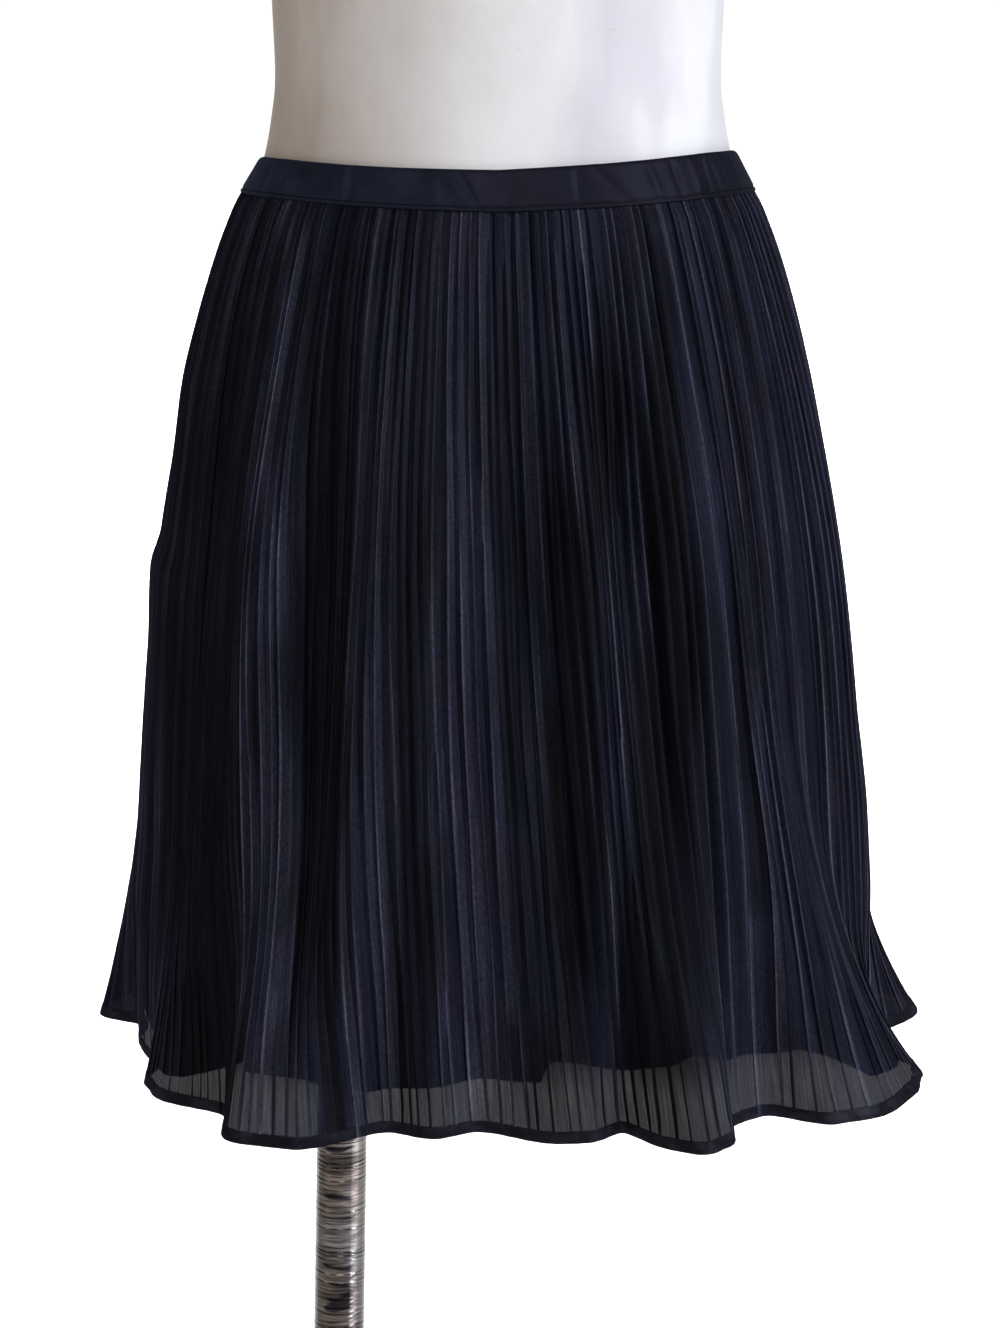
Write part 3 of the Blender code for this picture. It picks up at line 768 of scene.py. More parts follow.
def band_cloth():
    k = Nodes("band_look", (0.0120, 0.0120, 0.0210), 0.62, specular=0.0)
    k.set(k.bsdf, "Sheen Weight", 0.05)
    k.set(k.bsdf, "Sheen Roughness", 0.5)
    k.set(k.bsdf, "Sheen Tint", (0.58, 0.66, 0.90, 1.0))
    weave, uv = woven(k, 0.00042)
    blot = k.noise(k.coords("Object", (1, 1, 1.4)), 60.0, 4.0, 0.6)
    tone = k.ramp(blot, "Fac", ((0.3, (0.0056, 0.0064, 0.0108)), (0.48, (0.0088, 0.0092, 0.0160)), (0.56, (0.0092, 0.0094, 0.0164)),
                                (0.75, (0.0150, 0.0148, 0.0235))))
    k.link(k.mapped(blot, "Fac", 0.52, 0.68, 0.3, 0.7), "Result", k.bsdf, "Roughness")
    b = k.bump(blot, "Fac", 0.35, 0.0006)
    k.link(k.bump(weave, "Value", 0.35, 0.00008, b), "Normal", k.bsdf, "Normal")
    k.gloss((0.007, 0.0072, 0.0100), 0.50, b)
    # the sewn line and the lower edge lie in shade
    at_uv = k.add("ShaderNodeSeparateXYZ")
    k.link(uv, "Vector", at_uv, "Vector")
    down = k.mapped(at_uv, "Y", 0.0, 1.0, -0.0200, -0.0150)
    line = k.ramp(down, "Result", ((0.0, 0.18), (0.10, 0.24), (0.18, 1.0), (0.38, 1.0), (0.45, 0.26), (0.51, 0.26), (0.58, 1.0)))
    dark = k.add("ShaderNodeMixRGB", blend_type="MULTIPLY")
    dark.inputs["Fac"].default_value = 1.0
    k.link(tone, "Color", dark, "Color1")
    k.link(line, "Color", dark, "Color2")
    # painted light and shade: lighter and bluer towards one end, darker towards the other
    place = k.add("ShaderNodeSeparateXYZ")
    k.link(k.coords("Object"), "Vector", place, "Vector")
    along = k.ramp(k.mapped(place, "X", 0.0, 1.0, -0.12, 0.12), "Result",
                   ((0.16, (1.34, 1.66, 1.95)), (0.33, (1.24, 1.48, 1.62)), (0.51, (1.0, 1.0, 1.06)),
                    (0.72, (0.56, 0.55, 0.61)), (0.86, (0.52, 0.50, 0.55))))
    painted_light_and_wear = k.add("ShaderNodeMixRGB", blend_type="MULTIPLY")
    painted_light_and_wear.inputs["Fac"].default_value = 1.0
    k.link(dark, "Color", painted_light_and_wear, "Color1")
    k.link(along, "Color", painted_light_and_wear, "Color2")
    k.link(painted_light_and_wear, "Color", k.bsdf, "Base Color")
    return k.mat


def thread():
    k = Nodes("thread_look", (0.0050, 0.0050, 0.0085), 0.6, specular=0.0)
    twist = k.wave(k.coords("Object"), 420.0, "DIAGONAL")
    k.link(k.ramp(twist, "Fac", ((0.2, (0.0032, 0.0032, 0.0052)), (0.8, (0.0070, 0.0070, 0.0115)))),
           "Color", k.bsdf, "Base Color")
    k.link(k.bump(twist, "Fac", 0.3, 0.00005), "Normal", k.bsdf, "Normal")
    return k.mat


def form_white():
    k = Nodes("form_look", (0.88, 0.875, 0.87), 0.42, specular=0.25)
    k.set(k.bsdf, "Coat Weight", 0.04)
    k.set(k.bsdf, "Coat Roughness", 0.26)
    cloud = k.noise(k.coords("Object"), 14.0, 4.0, 0.6)
    fine = k.noise(k.coords("Object"), 900.0, 2.0, 0.6)
    scuff = k.noise(k.coords("Object", (26.0, 26.0, 110.0)), 1.0, 5.0, 0.75, 1.2)
    base = k.ramp(cloud, "Fac", ((0.25, (0.825, 0.810, 0.795)), (0.5, (0.895, 0.888, 0.884)), (0.8, (0.925, 0.924, 0.930))))
    # painted shade and light across the form: darker and warmer towards one side, a cooler painted shade band and then
    # a painted highlight stripe towards the other
    painted_shade_wobble = k.noise(k.coords("Object", (1, 1, 0.4)), 11.0, 4.0, 0.6)
    place = k.add("ShaderNodeSeparateXYZ")
    k.link(k.coords("Object"), "Vector", place, "Vector")
    shift = k.math("ADD", k.mapped(place, "X", 0.0, 1.0, -0.12, 0.12), "Result", k.mapped(painted_shade_wobble, "Fac", -0.09, 0.09, 0.3, 0.7), "Result")
    side = k.ramp(shift, "Value", ((0.00, (0.48, 0.42, 0.37)), (0.12, (0.60, 0.535, 0.475)), (0.25, (0.840, 0.810, 0.795)), (0.44, (1.0, 1.0, 1.0)),
                                   (0.62, (1.0, 0.995, 1.0)), (0.72, (0.78, 0.772, 0.825)), (0.80, (0.80, 0.795, 0.84)),
                                   (0.865, (0.97, 0.98, 1.0)), (0.92, (0.96, 0.975, 0.99)), (0.96, (0.84, 0.86, 0.88))))
    # the painted shade and light of the sides, the scuffs and the fine speckle multiply the base colour
    for extra in (side, k.ramp(scuff, "Fac", ((0.275, (0.66, 0.64, 0.62)), (0.315, (1.0, 1.0, 1.0)))),
                  k.ramp(fine, "Fac", ((0.30, (0.975, 0.975, 0.975)), (0.70, (1.0, 1.0, 1.0))))):
        painted_light_and_wear = k.add("ShaderNodeMixRGB", blend_type="MULTIPLY")
        painted_light_and_wear.inputs["Fac"].default_value = 1.0
        k.link(base, "Color", painted_light_and_wear, "Color1")
        k.link(extra, "Color", painted_light_and_wear, "Color2")
        base = painted_light_and_wear
    k.link(base, "Color", k.bsdf, "Base Color")
    k.link(k.mapped(fine, "Fac", 0.38, 0.50, 0.3, 0.7), "Result", k.bsdf, "Roughness")
    b = k.bump(cloud, "Fac", 0.14, 0.0022)
    k.link(k.bump(fine, "Fac", 0.10, 0.0001, b), "Normal", k.bsdf, "Normal")
    return k.mat


def chrome(name, color, low, high):
    k = Nodes(name, color, low, 1.0)
    ring = k.noise(k.coords("Object", (46.0, 46.0, 300.0)), 1.0, 3.0, 0.6, 0.6)
    patch = k.noise(k.coords("Object", (24.0, 24.0, 135.0)), 1.0, 2.0, 0.5, 0.3)
    line = k.noise(k.coords("Object", (8.0, 8.0, 700.0)), 1.0, 2.0, 0.5)
    smear = k.noise(k.coords("Object", (1, 1, 0.5)), 90.0, 4.0, 0.65)
    warm = k.noise(k.coords("Object", (1, 1, 0.6)), 48.0, 3.0, 0.6)
    # across the tube, along its lean: painted reflections, darker towards both edges, with dark patches and lighter and
    # darker lines across the middle and a painted highlight in a narrow strip near one side
    across = k.coords("Object")
    across.inputs["Rotation"].default_value = (0.0, -math.atan(POLE_LEAN), 0.0)
    part = k.add("ShaderNodeSeparateXYZ")
    k.link(across, "Vector", part, "Vector")
    mid = pole_x(0.0)
    u = k.mapped(part, "X", 0.0, 1.0, mid - POLE_R, mid + POLE_R)
    # painted reflection bands along the ribs, strongest across the middle of the tube
    dim = tuple(c * 0.50 for c in color)
    light = tuple(min(1.0, c * 1.7) for c in color)
    plain = k.ramp(u, "Result", ((0.08, 0.55), (0.22, 1.0), (0.80, 1.0), (0.90, 0.5)))
    tone = k.add("ShaderNodeMixRGB", blend_type="MIX")
    k.link(plain, "Color", tone, "Fac")
    tone.inputs["Color1"].default_value = (*color, 1.0)
    k.link(k.ramp(ring, "Fac", ((0.38, dim), (0.52, color), (0.66, light))), "Color", tone, "Color2")
    # painted reflection: dark towards both edges, lighter to the middle, a narrow painted highlight strip near one side
    painted_light_and_wear = k.ramp(u, "Result", ((0.00, (0.12, 0.12, 0.13)), (0.05, (0.17, 0.165, 0.165)), (0.10, (0.115, 0.105, 0.10)), (0.17, (0.15, 0.14, 0.13)),
                                (0.24, (0.20, 0.18, 0.165)), (0.50, (0.30, 0.29, 0.285)), (0.70, (0.42, 0.42, 0.44)), (0.76, (0.90, 0.90, 0.93)),
                                (0.82, (0.95, 0.95, 0.98)), (0.86, (0.42, 0.42, 0.43)), (0.92, (0.20, 0.20, 0.20)), (0.96, (0.14, 0.14, 0.14)),
                                (1.00, (0.09, 0.09, 0.09))))
    # painted reflection across the middle of the tube: dark patches and lighter and darker lines
    inside = k.ramp(u, "Result", ((0.14, 0.0), (0.24, 1.0), (0.70, 1.0), (0.80, 0.0)))
    painted_reflection_spots = k.ramp(patch, "Fac", ((0.385, (0.17, 0.18, 0.24)), (0.425, (0.95, 0.95, 0.95))))
    seen = k.add("ShaderNodeMixRGB", blend_type="MIX")
    k.link(inside, "Color", seen, "Fac")
    seen.inputs["Color1"].default_value = (1.0, 1.0, 1.0, 1.0)
    k.link(painted_reflection_spots, "Color", seen, "Color2")
    lines = k.add("ShaderNodeMixRGB", blend_type="MIX")
    k.link(inside, "Color", lines, "Fac")
    lines.inputs["Color1"].default_value = (0.95, 0.95, 0.95, 1.0)
    k.link(k.ramp(line, "Fac", ((0.34, (0.42, 0.41, 0.40)), (0.50, (1.0, 1.0, 1.0)), (0.72, (1.5, 1.47, 1.45)))), "Color", lines, "Color2")
    for extra, out in ((painted_light_and_wear, "Color"), (seen, "Color"), (lines, "Color"),
                       (k.ramp(warm, "Fac", ((0.42, (1.0, 1.0, 1.0)), (0.66, (1.0, 0.86, 0.74)))), "Color")):
        mix = k.add("ShaderNodeMixRGB", blend_type="MULTIPLY")
        mix.inputs["Fac"].default_value = 1.0
        k.link(tone, "Color", mix, "Color1")
        k.link(extra, out, mix, "Color2")
        tone = mix
    k.link(tone, "Color", k.bsdf, "Base Color")
    k.link(k.mapped(smear, "Fac", low, high, 0.3, 0.75), "Result", k.bsdf, "Roughness")
    k.link(k.bump(ring, "Fac", 0.16, 0.0008), "Normal", k.bsdf, "Normal")
    return k.mat


def satin_metal(name, color, low, high):
    k = Nodes(name, color, low, 1.0)
    radial = k.noise(k.coords("Object", (1, 1, 1)), 220.0, 5.0, 0.7)
    smear = k.noise(k.coords("Object"), 22.0, 3.0)
    k.link(k.ramp(smear, "Fac", ((0.3, tuple(c * 0.88 for c in color)), (0.7, color))), "Color", k.bsdf, "Base Color")
    k.link(k.mapped(smear, "Fac", low, high, 0.3, 0.7), "Result", k.bsdf, "Roughness")
    k.link(k.bump(radial, "Fac", 0.08, 0.0002), "Normal", k.bsdf, "Normal")
    return k.mat


# ---------------------------------------------------------------- skirt
def shell_area(points):
    a = points[:-1, :-1]; b = points[:-1, 1:]; c = points[1:, 1:]; d = points[1:, :-1]
    return float((np.linalg.norm(np.cross(b - a, c - a), axis=-1)
                  + np.linalg.norm(np.cross(c - a, d - a), axis=-1)).sum() / 2)


def build_shells(cloth, hem):
    made = {}
    for side, (first, last, crowd, seed) in SIDES.items():
        points, uv, values = pleated(side)
        obj = grid_object("pleats_" + side, points, uv)
        point_values(obj, cavity=values[:, :, 0], hollow=values[:, :, 1], dense=values[:, :, 2], tone=values[:, :, 3])
        finish_piece(obj, "pleated_chiffon", cloth, "shell_" + side)
        # turned hem: cloth folded up inside and out over the last few millimetres
        rows = []
        profile = ((HEM_BAND, 0.00042), (HEM_BAND * 0.5, 0.00050), (0.0006, 0.00048), (-0.0002, 0.0),
                   (0.0006, -0.00062), (HEM_BAND * 0.5, -0.00070), (HEM_BAND, -0.00060))
        count = 760
        for up, out in profile:
            line = half_line(first, last, HEM_Z + max(up, 0.0))
            edge = np.linspace(0, 1, count)
            s = (edge + crowd / (2 * math.pi) * np.sin(2 * math.pi * edge)) * line[0][-1]
            q, n = at(line, s)
            ripple = 0.00012 * np.sin(edge * 410.0 + 3 * np.sin(edge * 37.0))
            q = q + n * (out - 0.00012 + ripple)[:, None]
            rows.append(np.column_stack([q, np.full(count, WAIST_Z + HEM_Z + up)]))
        rows = np.array(rows)
        uvh = np.zeros(rows.shape[:2] + (2,))
        uvh[:, :, 0] = np.linspace(0, 0.62, count)[None, :]
        uvh[:, :, 1] = np.array([0, 0.003, 0.006, 0.0065, 0.007, 0.010, 0.013])[:, None]
        band = grid_object("hem_" + side, rows, uvh)
        finish_piece(band, "pleated_chiffon", hem)
        made[side] = (obj, band, shell_area(points), float(uv[0, -1, 0]))
    return made


# how much higher or lower the lining's edge hangs: angle (degrees), height (metres)
LINING_DROP = ((-95, 0.0), (-84, -0.004), (-74, -0.013), (-60, -0.017), (-53, -0.013), (-49, -0.008), (-43, 0.0),
               (-36, 0.0025), (-29, 0.0025), (-24.5, -0.002), (-22, -0.0070), (-17, -0.0060), (-11, -0.0040), (-4, -0.0025),
               (2, -0.0020), (7.3, -0.0005), (8.6, 0.0085), (10, 0.0095), (14.3, 0.0080), (18.5, 0.0045), (22.5, 0.0018),
               (31, 0.0), (35, 0.0040), (41, -0.0005), (46, 0.0030), (49, 0.0058), (51.5, 0.002), (55.5, -0.0105),
               (61, -0.0150), (67, -0.0170), (75, -0.0120), (85, -0.003), (95, 0.0))


def lining_edge(phi):
    """Height of the lining's lower edge, a little uneven."""
    deg = (phi / DEG + 180.0) % 360.0 - 180.0
    drop = np.interp(deg, [r[0] for r in LINING_DROP], [r[1] for r in LINING_DROP])
    return LINING_Z + drop + 0.0008 * np.sin(phi * 11 + 2.0)


# how far the lining goes out with the hem's flutes: angle (degrees), share
LINING_FOLLOW = ((-180, 0.7), (-90, 0.95), (-75, 1.0), (-50, 1.0), (-30, 0.97), (-15, 0.80), (7.5, 0.65), (10, 0.05), (38, 0.0),
                 (46, 0.45), (54, 0.98), (75, 1.0), (90, 0.95), (180, 0.7))


def lining_radius(phi, z, extra=0.0):
    drop = np.clip((-BAND_H - z) / (-BAND_H - LINING_Z), 0, 1)
    deg = ((phi / DEG + 180.0) % 360.0) - 180.0
    share = np.interp(deg, [r[0] for r in LINING_FOLLOW], [r[1] for r in LINING_FOLLOW])
    hw, fr, bk = section(SECTIONS, z)
    plain, folds = oval(phi, hw, fr, bk), hem_fold(phi, z)
    # it hangs closer to the pleats in the flutes at the sides
    near = smooth(np.abs(deg), 46.0, 54.0) * (1 - smooth(np.abs(deg), 92.0, 100.0))
    inset = 0.0044 + 0.0040 * drop - near * (0.0040 * drop + 0.0016 * smooth(drop, 0.86, 1.0))
    soft = plain + (1 - (1 - share) * drop) * folds + 0.5 * body_fold(phi, z) - inset
    return np.minimum(soft, plain + folds + body_fold(phi, z) - np.minimum(inset, 0.0044)) - extra


def build_lining(cloth):
    made = {}
    for side, (first, last, crowd, seed) in SIDES.items():
        rows, cols = 84, 420
        phi = np.linspace(first, last, cols)
        ripple = Noise(seed + 40, 1, 2.0, 9.0, 6)
        wob = np.array([ripple(p / (2 * math.pi)).item() for p in phi])
        pts, uv = [], []
        low = lining_edge(np.where(phi > math.pi, phi - 2 * math.pi, phi))
        for i in range(rows):
            t = i / (rows - 1)
            z = -0.0185 + (low + 0.0185) * t
            drop = np.clip((-BAND_H - z) / (-BAND_H - LINING_Z), 0, 1)
            q = plan(phi, lining_radius(phi, z) - 0.0006 * np.abs(wob) * drop)
            pts.append(np.column_stack([q, lifted(phi, z)]))
            uv.append(np.column_stack([phi * 0.16, z]))
        # turned edge: the last rows come back up inside
        for up, inn in ((-0.0003, 0.0003), (0.0004, 0.0009), (0.0100, 0.0011)):
            z = low + up
            q = plan(phi, lining_radius(phi, z, inn) - 0.0006 * np.abs(wob))
            pts.append(np.column_stack([q, WAIST_Z + z]))
            uv.append(np.column_stack([phi * 0.16, z]))
        pts, uv = np.array(pts), np.array(uv)
        obj = grid_object("lining_panel_" + side, pts, uv)
        finish_piece(obj, "lining_cloth", cloth, "lining_" + side)
        made[side] = (obj, shell_area(pts))
    return made


# creases pressed into the band: angle (degrees), lean, width (m), height (m, + outwards)
BAND_CREASES = (
    (-42.5, 0.15, 0.0014, 0.0009), (-40.2, 0.15, 0.0016, -0.0012), (-24.0, -0.5, 0.006, -0.0007), (-17.0, 0.2, 0.003, 0.0005),
    (-10.5, 0.8, 0.004, 0.0007), (-8.0, 0.6, 0.0020, -0.0009), (4.0, -0.7, 0.005, -0.0006), (14.0, 0.5, 0.005, 0.0006),
    (22.0, 0.0, 0.0026, -0.0009), (31.0, 0.9, 0.004, -0.0007), (43.0, 0.2, 0.0028, 0.0008),
    (50.0, 0.1, 0.0022, -0.0010), (56.0, 0.0, 0.0020, 0.0010), (60.0, -0.1, 0.0016, -0.0010), (64.0, 0.1, 0.0016, 0.0009),
    (68.0, 0.0, 0.0016, -0.0010), (73.0, 0.0, 0.0016, 0.0008), (-58.0, -0.3, 0.004, 0.0007), (-70.0, 0.2, 0.003, -0.0007),
)
BAND_THREAD = 0.0024     # stitch line above the lower edge


def band_surface(phi, down, inner=False):
    """Radius of the band's face; down runs from 0 at the top edge to BAND_H."""
    hw, fr, bk = section(SECTIONS, -down)
    r = oval(phi, hw, fr, bk)
    deg = phi / DEG
    arc_m = r * DEG
    for mid, lean, width, height in BAND_CREASES:
        off = (deg - mid) * arc_m - lean * (down - BAND_H / 2)
        r = r + height * np.exp(-(off / width) ** 2) * np.sin(np.clip(math.pi * (down + 0.002) / (BAND_H + 0.002), 0, math.pi))
    back = 1 - smooth(np.abs((deg + 360) % 360 - 180.0), 78.0, 90.0)
    # elastic inside the back half draws it into small upright gathers
    gather = np.sin(phi * 86 + 1.7 * np.sin(phi * 9.0)) * (0.6 + 0.4 * np.sin(phi * 23.0 + 1.0))
    r = r + back * 0.00062 * gather * np.sin(math.pi * np.clip((down + 0.003) / (BAND_H + 0.006), 0, 1))
    # stitched line
    r = r - 0.00060 * np.exp(-((down - (BAND_H - BAND_THREAD)) / 0.00055) ** 2)
    # side seams
    for seam in (-90.0, 90.0, 270.0):
        r = r - 0.0005 * np.exp(-(((deg - seam) * arc_m) / 0.0006) ** 2)
    return r


def build_band(cloth, stitch):
    made = {}
    for side, (first, last, crowd, seed) in SIDES.items():
        cols = 620
        phi = np.linspace(first, last, cols)
        pts, uv = [], []
        tilt = TILT * np.sin(phi)
        corner = corner_drop(phi)
        rise = top_rise(phi)
        # outer face from under the top fold to the lower fold, then back up inside
        outer = [(0.0000, -0.0011), (-0.00015, -0.0007), (0.0002, -0.00022), (0.0008, 0.00005)] + \
            [(d, 0.00015) for d in np.linspace(0.0016, 0.0186, 26)] + \
            [(0.0193, 0.00005), (0.0198, -0.0003), (0.0200, -0.0009), (0.0197, -0.0015), (0.0188, -0.0019)] + \
            [(d, -0.0021) for d in np.linspace(0.0170, 0.0020, 6)] + [(0.0006, -0.0019), (0.0000, -0.0011)]
        for d, out in outer:
            lift = (tilt - corner) * (1 - d / BAND_H)
            r = band_surface(phi, np.full(cols, max(d, 0.0)))
            if out < -0.0015:
                hw, fr, bk = section(SECTIONS, -max(d, 0.0))
                r = oval(phi, hw, fr, bk)
            pts.append(np.column_stack([plan(phi, r + out), WAIST_Z - d + lift + rise]))
            uv.append(np.column_stack([phi * 0.118, np.full(cols, -d if out > -0.0012 else d)]))
        pts, uv = np.array(pts), np.array(uv)
        obj = grid_object("band_" + side, pts, uv)
        finish_piece(obj, "band_cloth", cloth, "waistband_" + side)
        # stitches: small rounded dashes lying in the sewn line
        length, pitch = 0.0021, 0.0030
        r0 = float(np.mean(oval(phi, *[float(v) for v in section(SECTIONS, -(BAND_H - BAND_THREAD))])))
        count = int(math.pi * r0 / pitch)
        ring = [(math.cos(a), math.sin(a)) for a in np.arange(6) * math.pi / 3]
        verts, faces = [], []
        for i in range(count):
            mid = first + (last - first) * (i + 0.5) / count
            down = BAND_H - BAND_THREAD
            lift = (TILT * math.sin(mid) - float(corner_drop(mid))) * (1 - down / BAND_H) + float(top_rise(mid))
            base = len(verts)
            for j, (t, w) in enumerate(((-0.5, 0.15), (-0.38, 0.8), (-0.12, 1.0), (0.12, 1.0), (0.38, 0.8), (0.5, 0.15))):
                ang = mid + t * length / r0
                rr = float(band_surface(np.array([ang]), np.array([down]))[0]) + 0.00022 - (0.00030 if w < 0.5 else 0.0)
                for cx, cy in ring:
                    rad = rr + 0.00017 * w * cx
                    verts.append((math.sin(ang) * rad, -math.cos(ang) * rad,
                                  WAIST_Z - down + lift + 0.00017 * w * cy))
            for j in range(5):
                for m in range(6):
                    n2 = (m + 1) % 6
                    faces.append((base + j * 6 + m, base + j * 6 + n2, base + (j + 1) * 6 + n2, base + (j + 1) * 6 + m))
            caps = [tuple(base + m for m in reversed(range(6))), tuple(base + 30 + m for m in range(6))]
            faces += [c[:4] for c in caps] + [(c[0], c[3], c[4], c[5]) for c in caps]
        st = make_mesh("stitches_" + side, verts, [np.array(faces)])
        finish_piece(st, "band_cloth", stitch)
        made[side] = (obj, st, shell_area(pts))
    return made


# ---------------------------------------------------------------- stand
def ring_solid(name, rings, flat_ends=True):
    """Closed solid from rings of points that run from top to bottom."""
    rings = np.array(rings)
    rows, cols = rings.shape[:2]
    verts = rings.reshape(-1, 3)
    faces = [grid_faces(rows, cols, closed=True)]
    if flat_ends:
        top, foot = rings[0].mean(0), rings[-1].mean(0)
        verts = np.vstack([verts, top, foot])
        i = np.arange(cols)
        j = (i + 1) % cols
        faces.append(np.stack([np.full(cols, len(verts) - 2), i, j], -1))
        lo = (rows - 1) * cols
        faces.append(np.stack([np.full(cols, len(verts) - 1), lo + j, lo + i], -1))
    return make_mesh(name, verts, faces)


def hermite(values, n):
    """n points through each run between values, passing through them all."""
    v = np.asarray(values, float)
    m = np.gradient(v, axis=0)
    out = []
    for i in range(len(v) - 1):
        for t in np.arange(n) / n:
            out.append((2 * t ** 3 - 3 * t ** 2 + 1) * v[i] + (t ** 3 - 2 * t ** 2 + t) * m[i]
                       + (-2 * t ** 3 + 3 * t ** 2) * v[i + 1] + (t ** 3 - t ** 2) * m[i + 1])
    out.append(v[-1])
    return np.array(out)


def build_form(look):
    table = [(0.1506, 0.0010, 0.0010, 0.0010), (0.15045, 0.0280, 0.0220, 0.0210)] + list(FORM)
    prof = hermite(table, 7)
    phi = np.linspace(0, 2 * math.pi, 192, endpoint=False)
    rings = []
    for z, hw, fr, bk in prof:
        r = oval(phi, hw, fr, bk)
        rings.append(np.column_stack([plan(phi, r), np.full(len(phi), WAIST_Z + z)]))
    # softened lower rim, then the flat underside
    z, hw, fr, bk = prof[-1]
    for d, k in ((0.0, 0.985), (0.0, 0.60), (0.0, 0.02)):
        r = oval(phi, hw, fr, bk) * k
        rings.append(np.column_stack([plan(phi, r), np.full(len(phi), WAIST_Z + z - d)]))
    obj = ring_solid("form_body", rings)
    obj.data.set_sharp_from_angle(angle=50 * DEG)
    return finish_piece(obj, "form_white", look, "form_torso")


def pole_x(z):
    return POLE_X + POLE_LEAN * (z - (WAIST_Z + HEM_Z))


def build_pole(look):
    """Tube with fine uneven ribs pressed round it."""
    rng = random.Random(5)
    top, foot = WAIST_Z + FORM_UNDER - GAP, BASE_H + GAP
    z, rings = top, []
    ang = np.linspace(0, 2 * math.pi, 64, endpoint=False)

    def ring(z, r, wob=0.0, phase=0.0):
        zz = z + wob * np.sin(ang + phase)
        return np.column_stack([pole_x(zz) + r * np.cos(ang), r * np.sin(ang), zz])

    rings.append(ring(top, POLE_R - 0.0006))
    z -= 0.0006
    while z > foot + 0.006:
        pitch = rng.uniform(0.0019, 0.0036)
        high = rng.uniform(0.00008, 0.00024)
        phase = rng.uniform(0, 6.28)
        wob = rng.uniform(0.0, 0.00018)
        for t, h in ((0.0, -0.6), (0.10, 0.1), (0.24, 0.8), (0.45, 1.0), (0.68, 0.85), (0.86, 0.2)):
            rings.append(ring(z - t * pitch, POLE_R - 0.00034 + high * h, wob, phase))
        z -= pitch
    rings.append(ring(foot + 0.001, POLE_R - 0.0004))
    rings.append(ring(foot, POLE_R - 0.0007))
    obj = ring_solid("pole_ribbed", rings)
    return finish_piece(obj, "pole_chrome", look, "stand_pole")


def lathe(name, cx, profile, bore=None, cols=128):
    """Turned piece from (radius, z) rows, top to bottom down its outer side."""
    ang = np.linspace(0, 2 * math.pi, cols, endpoint=False)
    rings = [np.column_stack([cx + r * np.cos(ang), r * np.sin(ang), np.full(cols, z)]) for r, z in profile]
    if bore is None:
        return ring_solid(name, rings)
    rings += [np.column_stack([cx + bore * np.cos(ang), bore * np.sin(ang), np.full(cols, z)])
              for z in (profile[-1][1], profile[0][1])]
    rings.append(rings[0])
    rows = len(rings) - 1
    verts = np.array(rings[:-1]).reshape(-1, 3)
    idx = np.arange(rows * cols).reshape(rows, cols)
    idx = np.vstack([idx, idx[:1]])
    idx = np.concatenate([idx, idx[:, :1]], 1)
    a, b, c, d = idx[:-1, :-1], idx[:-1, 1:], idx[1:, 1:], idx[1:, :-1]
    return make_mesh(name, verts, [np.stack([a, d, c, b], -1).reshape(-1, 4)])


def rounded(points, radius=0.0008, steps=4):
    """Profile with its inner corners rounded."""
    pts = [Vector(p) for p in points]
    out = [pts[0]]
    for a, b, c in zip(pts, pts[1:], pts[2:]):
        u, v = a - b, c - b
        k = min(radius, u.length * 0.45, v.length * 0.45)
        p, q = b + u.normalized() * k, b + v.normalized() * k
        for i in range(steps + 1):
            t = i / steps
            out.append((1 - t) ** 2 * p + 2 * t * (1 - t) * b + t * t * q)
    out.append(pts[-1])
    return [(p.x, p.y) for p in out]


def build_metal(socket, collar, base):
    under = WAIST_Z + FORM_UNDER - GAP
    cx = pole_x(under)
    prof = rounded([(SOCKET_R - 0.0015, under), (SOCKET_R, under - 0.0010), (SOCKET_R, under - 0.0045),
                    (SOCKET_R * 0.66, under - 0.0060), (SOCKET_R * 0.66, under - SOCKET_H + 0.0015),
                    (SOCKET_R * 0.60, under - SOCKET_H)])
    o = lathe("socket_flange", cx, prof, POLE_R + 0.0008)
    o.data.set_sharp_from_angle(angle=40 * DEG)
    finish_piece(o, "socket_metal", socket, "pole_socket")
    foot = BASE_H + GAP
    cx = pole_x(foot)
    prof = rounded([(POLE_R + 0.0035, foot + HUB_H), (POLE_R + 0.005, foot + HUB_H - 0.0015),
                    (POLE_R + 0.006, foot + 0.012), (HUB_R - 0.004, foot + 0.008), (HUB_R, foot + 0.004),
                    (HUB_R, foot)], 0.0016)
    o = lathe("collar_turned", cx, prof, POLE_R + 0.0011)
    o.data.set_sharp_from_angle(angle=40 * DEG)
    finish_piece(o, "collar_metal", collar, "base_collar")
    prof = rounded([(0.001, BASE_H), (HUB_R + 0.006, BASE_H), (BASE_R - 0.010, 0.0130), (BASE_R - 0.003, 0.0115),
                    (BASE_R, 0.0085), (BASE_R, 0.0015), (BASE_R - 0.0015, 0.0)], 0.0020, 5)
    prof += [(BASE_R - 0.004, 0.0), (0.001, 0.0)]
    o = lathe("base_disc", BASE_X, prof, None, 192)
    o.data.set_sharp_from_angle(angle=40 * DEG)
    finish_piece(o, "base_metal", base, "stand_base")


# ---------------------------------------------------------------- build
cloth, hem = chiffon(), turned_hem()
shells = build_shells(cloth, hem)
linings = build_lining(lining_cloth())
bands = build_band(band_cloth(), thread())
build_form(form_white())
build_pole(chrome("pole_look", (0.66, 0.63, 0.61), 0.12, 0.26))
build_metal(satin_metal("socket_look", (0.58, 0.58, 0.58), 0.26, 0.36),
            satin_metal("collar_look", (0.60, 0.60, 0.60), 0.18, 0.30),
            satin_metal("base_look", (0.58, 0.58, 0.59), 0.28, 0.42))

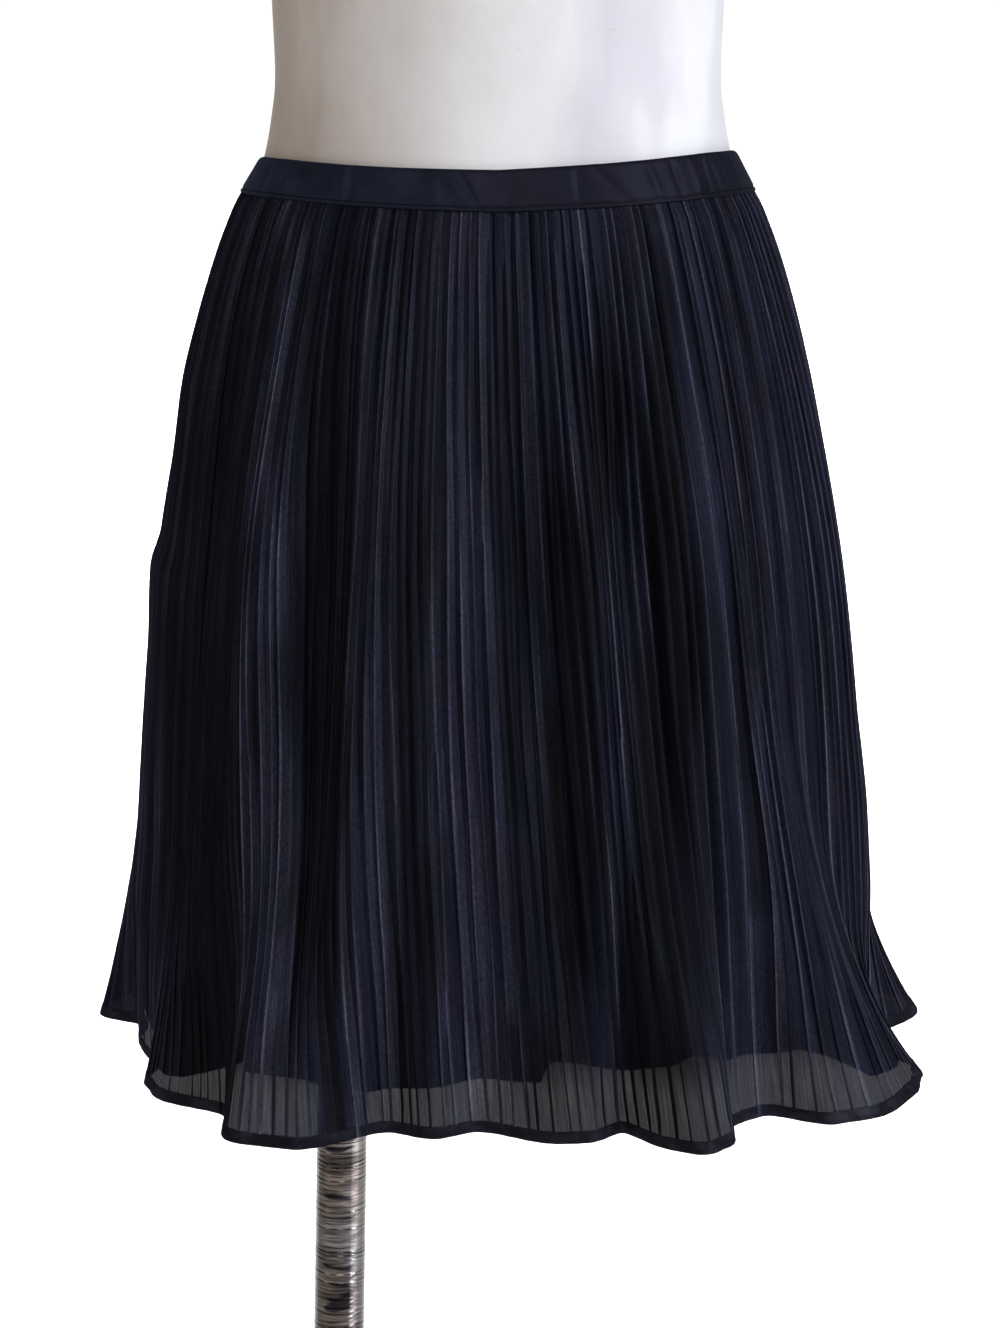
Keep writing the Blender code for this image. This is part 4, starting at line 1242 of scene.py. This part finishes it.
# ---------------------------------------------------------------- floor, light, camera
ring = np.linspace(0, 2 * math.pi, 96, endpoint=False)
floor = make_mesh("floor", [(8.0 * math.cos(a), 8.0 * math.sin(a), 0.0) for a in ring] + [(0.0, 0.0, 0.0)],
                  [np.array([(96, i, (i + 1) % 96) for i in range(96)])], smooth_faces=False)
k = Nodes("floor_look", (0.88, 0.88, 0.88), 0.85, specular=0.1)
grain = k.noise(k.coords("Object"), 3.0, 2.0)
k.link(k.ramp(grain, "Fac", ((0.3, (0.87, 0.87, 0.87)), (0.7, (0.89, 0.89, 0.89)))), "Color", k.bsdf, "Base Color")
floor.data.materials.append(k.mat)

world = bpy.data.worlds.new("studio")
bpy.context.scene.world = world
world.use_nodes = True
wt = world.node_tree
bg = wt.nodes["Background"]
bg.inputs["Strength"].default_value = 1.0
wc = wt.nodes.new("ShaderNodeTexCoord")
ws = wt.nodes.new("ShaderNodeSeparateXYZ")
wr = wt.nodes.new("ShaderNodeValToRGB")
wt.links.new(wc.outputs["Generated"], ws.inputs["Vector"])
wt.links.new(ws.outputs["Z"], wr.inputs["Fac"])
wt.links.new(wr.outputs["Color"], bg.inputs["Color"])
el = wr.color_ramp.elements
el[0].position, el[0].color = 0.00, (0.34, 0.33, 0.32, 1.0)
el[1].position, el[1].color = 0.03, (0.30, 0.29, 0.28, 1.0)
for pos, col in ((0.09, (0.17, 0.16, 0.15, 1.0)), (0.25, (0.095, 0.086, 0.078, 1.0)), (1.0, (0.080, 0.073, 0.066, 1.0))):
    e = el.new(pos)
    e.color = col
wy = wt.nodes.new("ShaderNodeMapRange")
wz = wt.nodes.new("ShaderNodeMapRange")
wm = wt.nodes.new("ShaderNodeMath")
wm.operation = "MULTIPLY"
wx = wt.nodes.new("ShaderNodeMixRGB")
for node, out, values in ((wy, "Y", (0.945, 0.975, 0.0, 1.0)), (wz, "Z", (0.01, 0.05, 1.0, 0.0))):
    for socket, value in zip(("From Min", "From Max", "To Min", "To Max"), values):
        node.inputs[socket].default_value = value
    wt.links.new(ws.outputs[out], node.inputs["Value"])
wt.links.new(wy.outputs["Result"], wm.inputs[0])
wt.links.new(wz.outputs["Result"], wm.inputs[1])
wt.links.new(wm.outputs["Value"], wx.inputs["Fac"])
wt.links.new(wr.outputs["Color"], wx.inputs["Color1"])
wx.inputs["Color2"].default_value = (1.05, 1.05, 1.05, 1.0)
wt.links.new(wx.outputs["Color"], bg.inputs["Color"])


def area_light(name, size, power, place, aim, color=(1, 1, 1)):
    data = bpy.data.lights.new(name, "AREA")
    data.shape = "RECTANGLE"
    data.size, data.size_y = size
    data.energy = power
    data.color = color
    obj = bpy.data.objects.new(name, data)
    obj.location = place
    obj.rotation_euler = (Vector(aim) - Vector(place)).to_track_quat("-Z", "Y").to_euler()
    bpy.context.scene.collection.objects.link(obj)
    return obj


def sun(name, energy, rotation, angle):
    data = bpy.data.lights.new(name, "SUN")
    data.energy = energy
    data.angle = angle
    obj = bpy.data.objects.new(name, data)
    obj.rotation_euler = rotation
    bpy.context.scene.collection.objects.link(obj)
    return obj


area_light("key", (0.8, 1.4), 60.0, (2.50, -1.30, 1.70), (0.0, 0.0, 0.60), (0.95, 0.97, 1.06))
area_light("front", (1.6, 1.2), 34.0, (0.1, -3.4, 2.3), (0.0, 0.0, 0.60), (0.98, 0.98, 1.02))
area_light("room", (1.2, 1.2), 9.0, (-2.4, -1.2, 1.2), (0.0, 0.0, 0.60), (1.0, 0.86, 0.72))
wash = area_light("floor_wash", (3.4, 7.8), 450.0, (0.0, 4.9, 4.2), (0.0, 4.9, 0.0), (1.0, 1.0, 1.0))
wash.data.spread = 60 * DEG

cam_data = bpy.data.cameras.new("camera")
cam = bpy.data.objects.new("camera", cam_data)
bpy.context.scene.collection.objects.link(cam)
cam_data.sensor_fit = "AUTO"
cam_data.sensor_width = 36.0
cam_data.lens = 3440.0 * 36.0 / 1328.0
cam.location = (0.0, -1.78, WAIST_Z + 0.145)
cam.rotation_euler = ((90.0 - 13.1) * DEG, 0.0, 0.0)
bpy.context.scene.camera = cam
bpy.context.scene.view_settings.view_transform = "Standard"

bpy.context.view_layer.update()


def plain(box):
    return [[float(v) for v in corner] for corner in box]
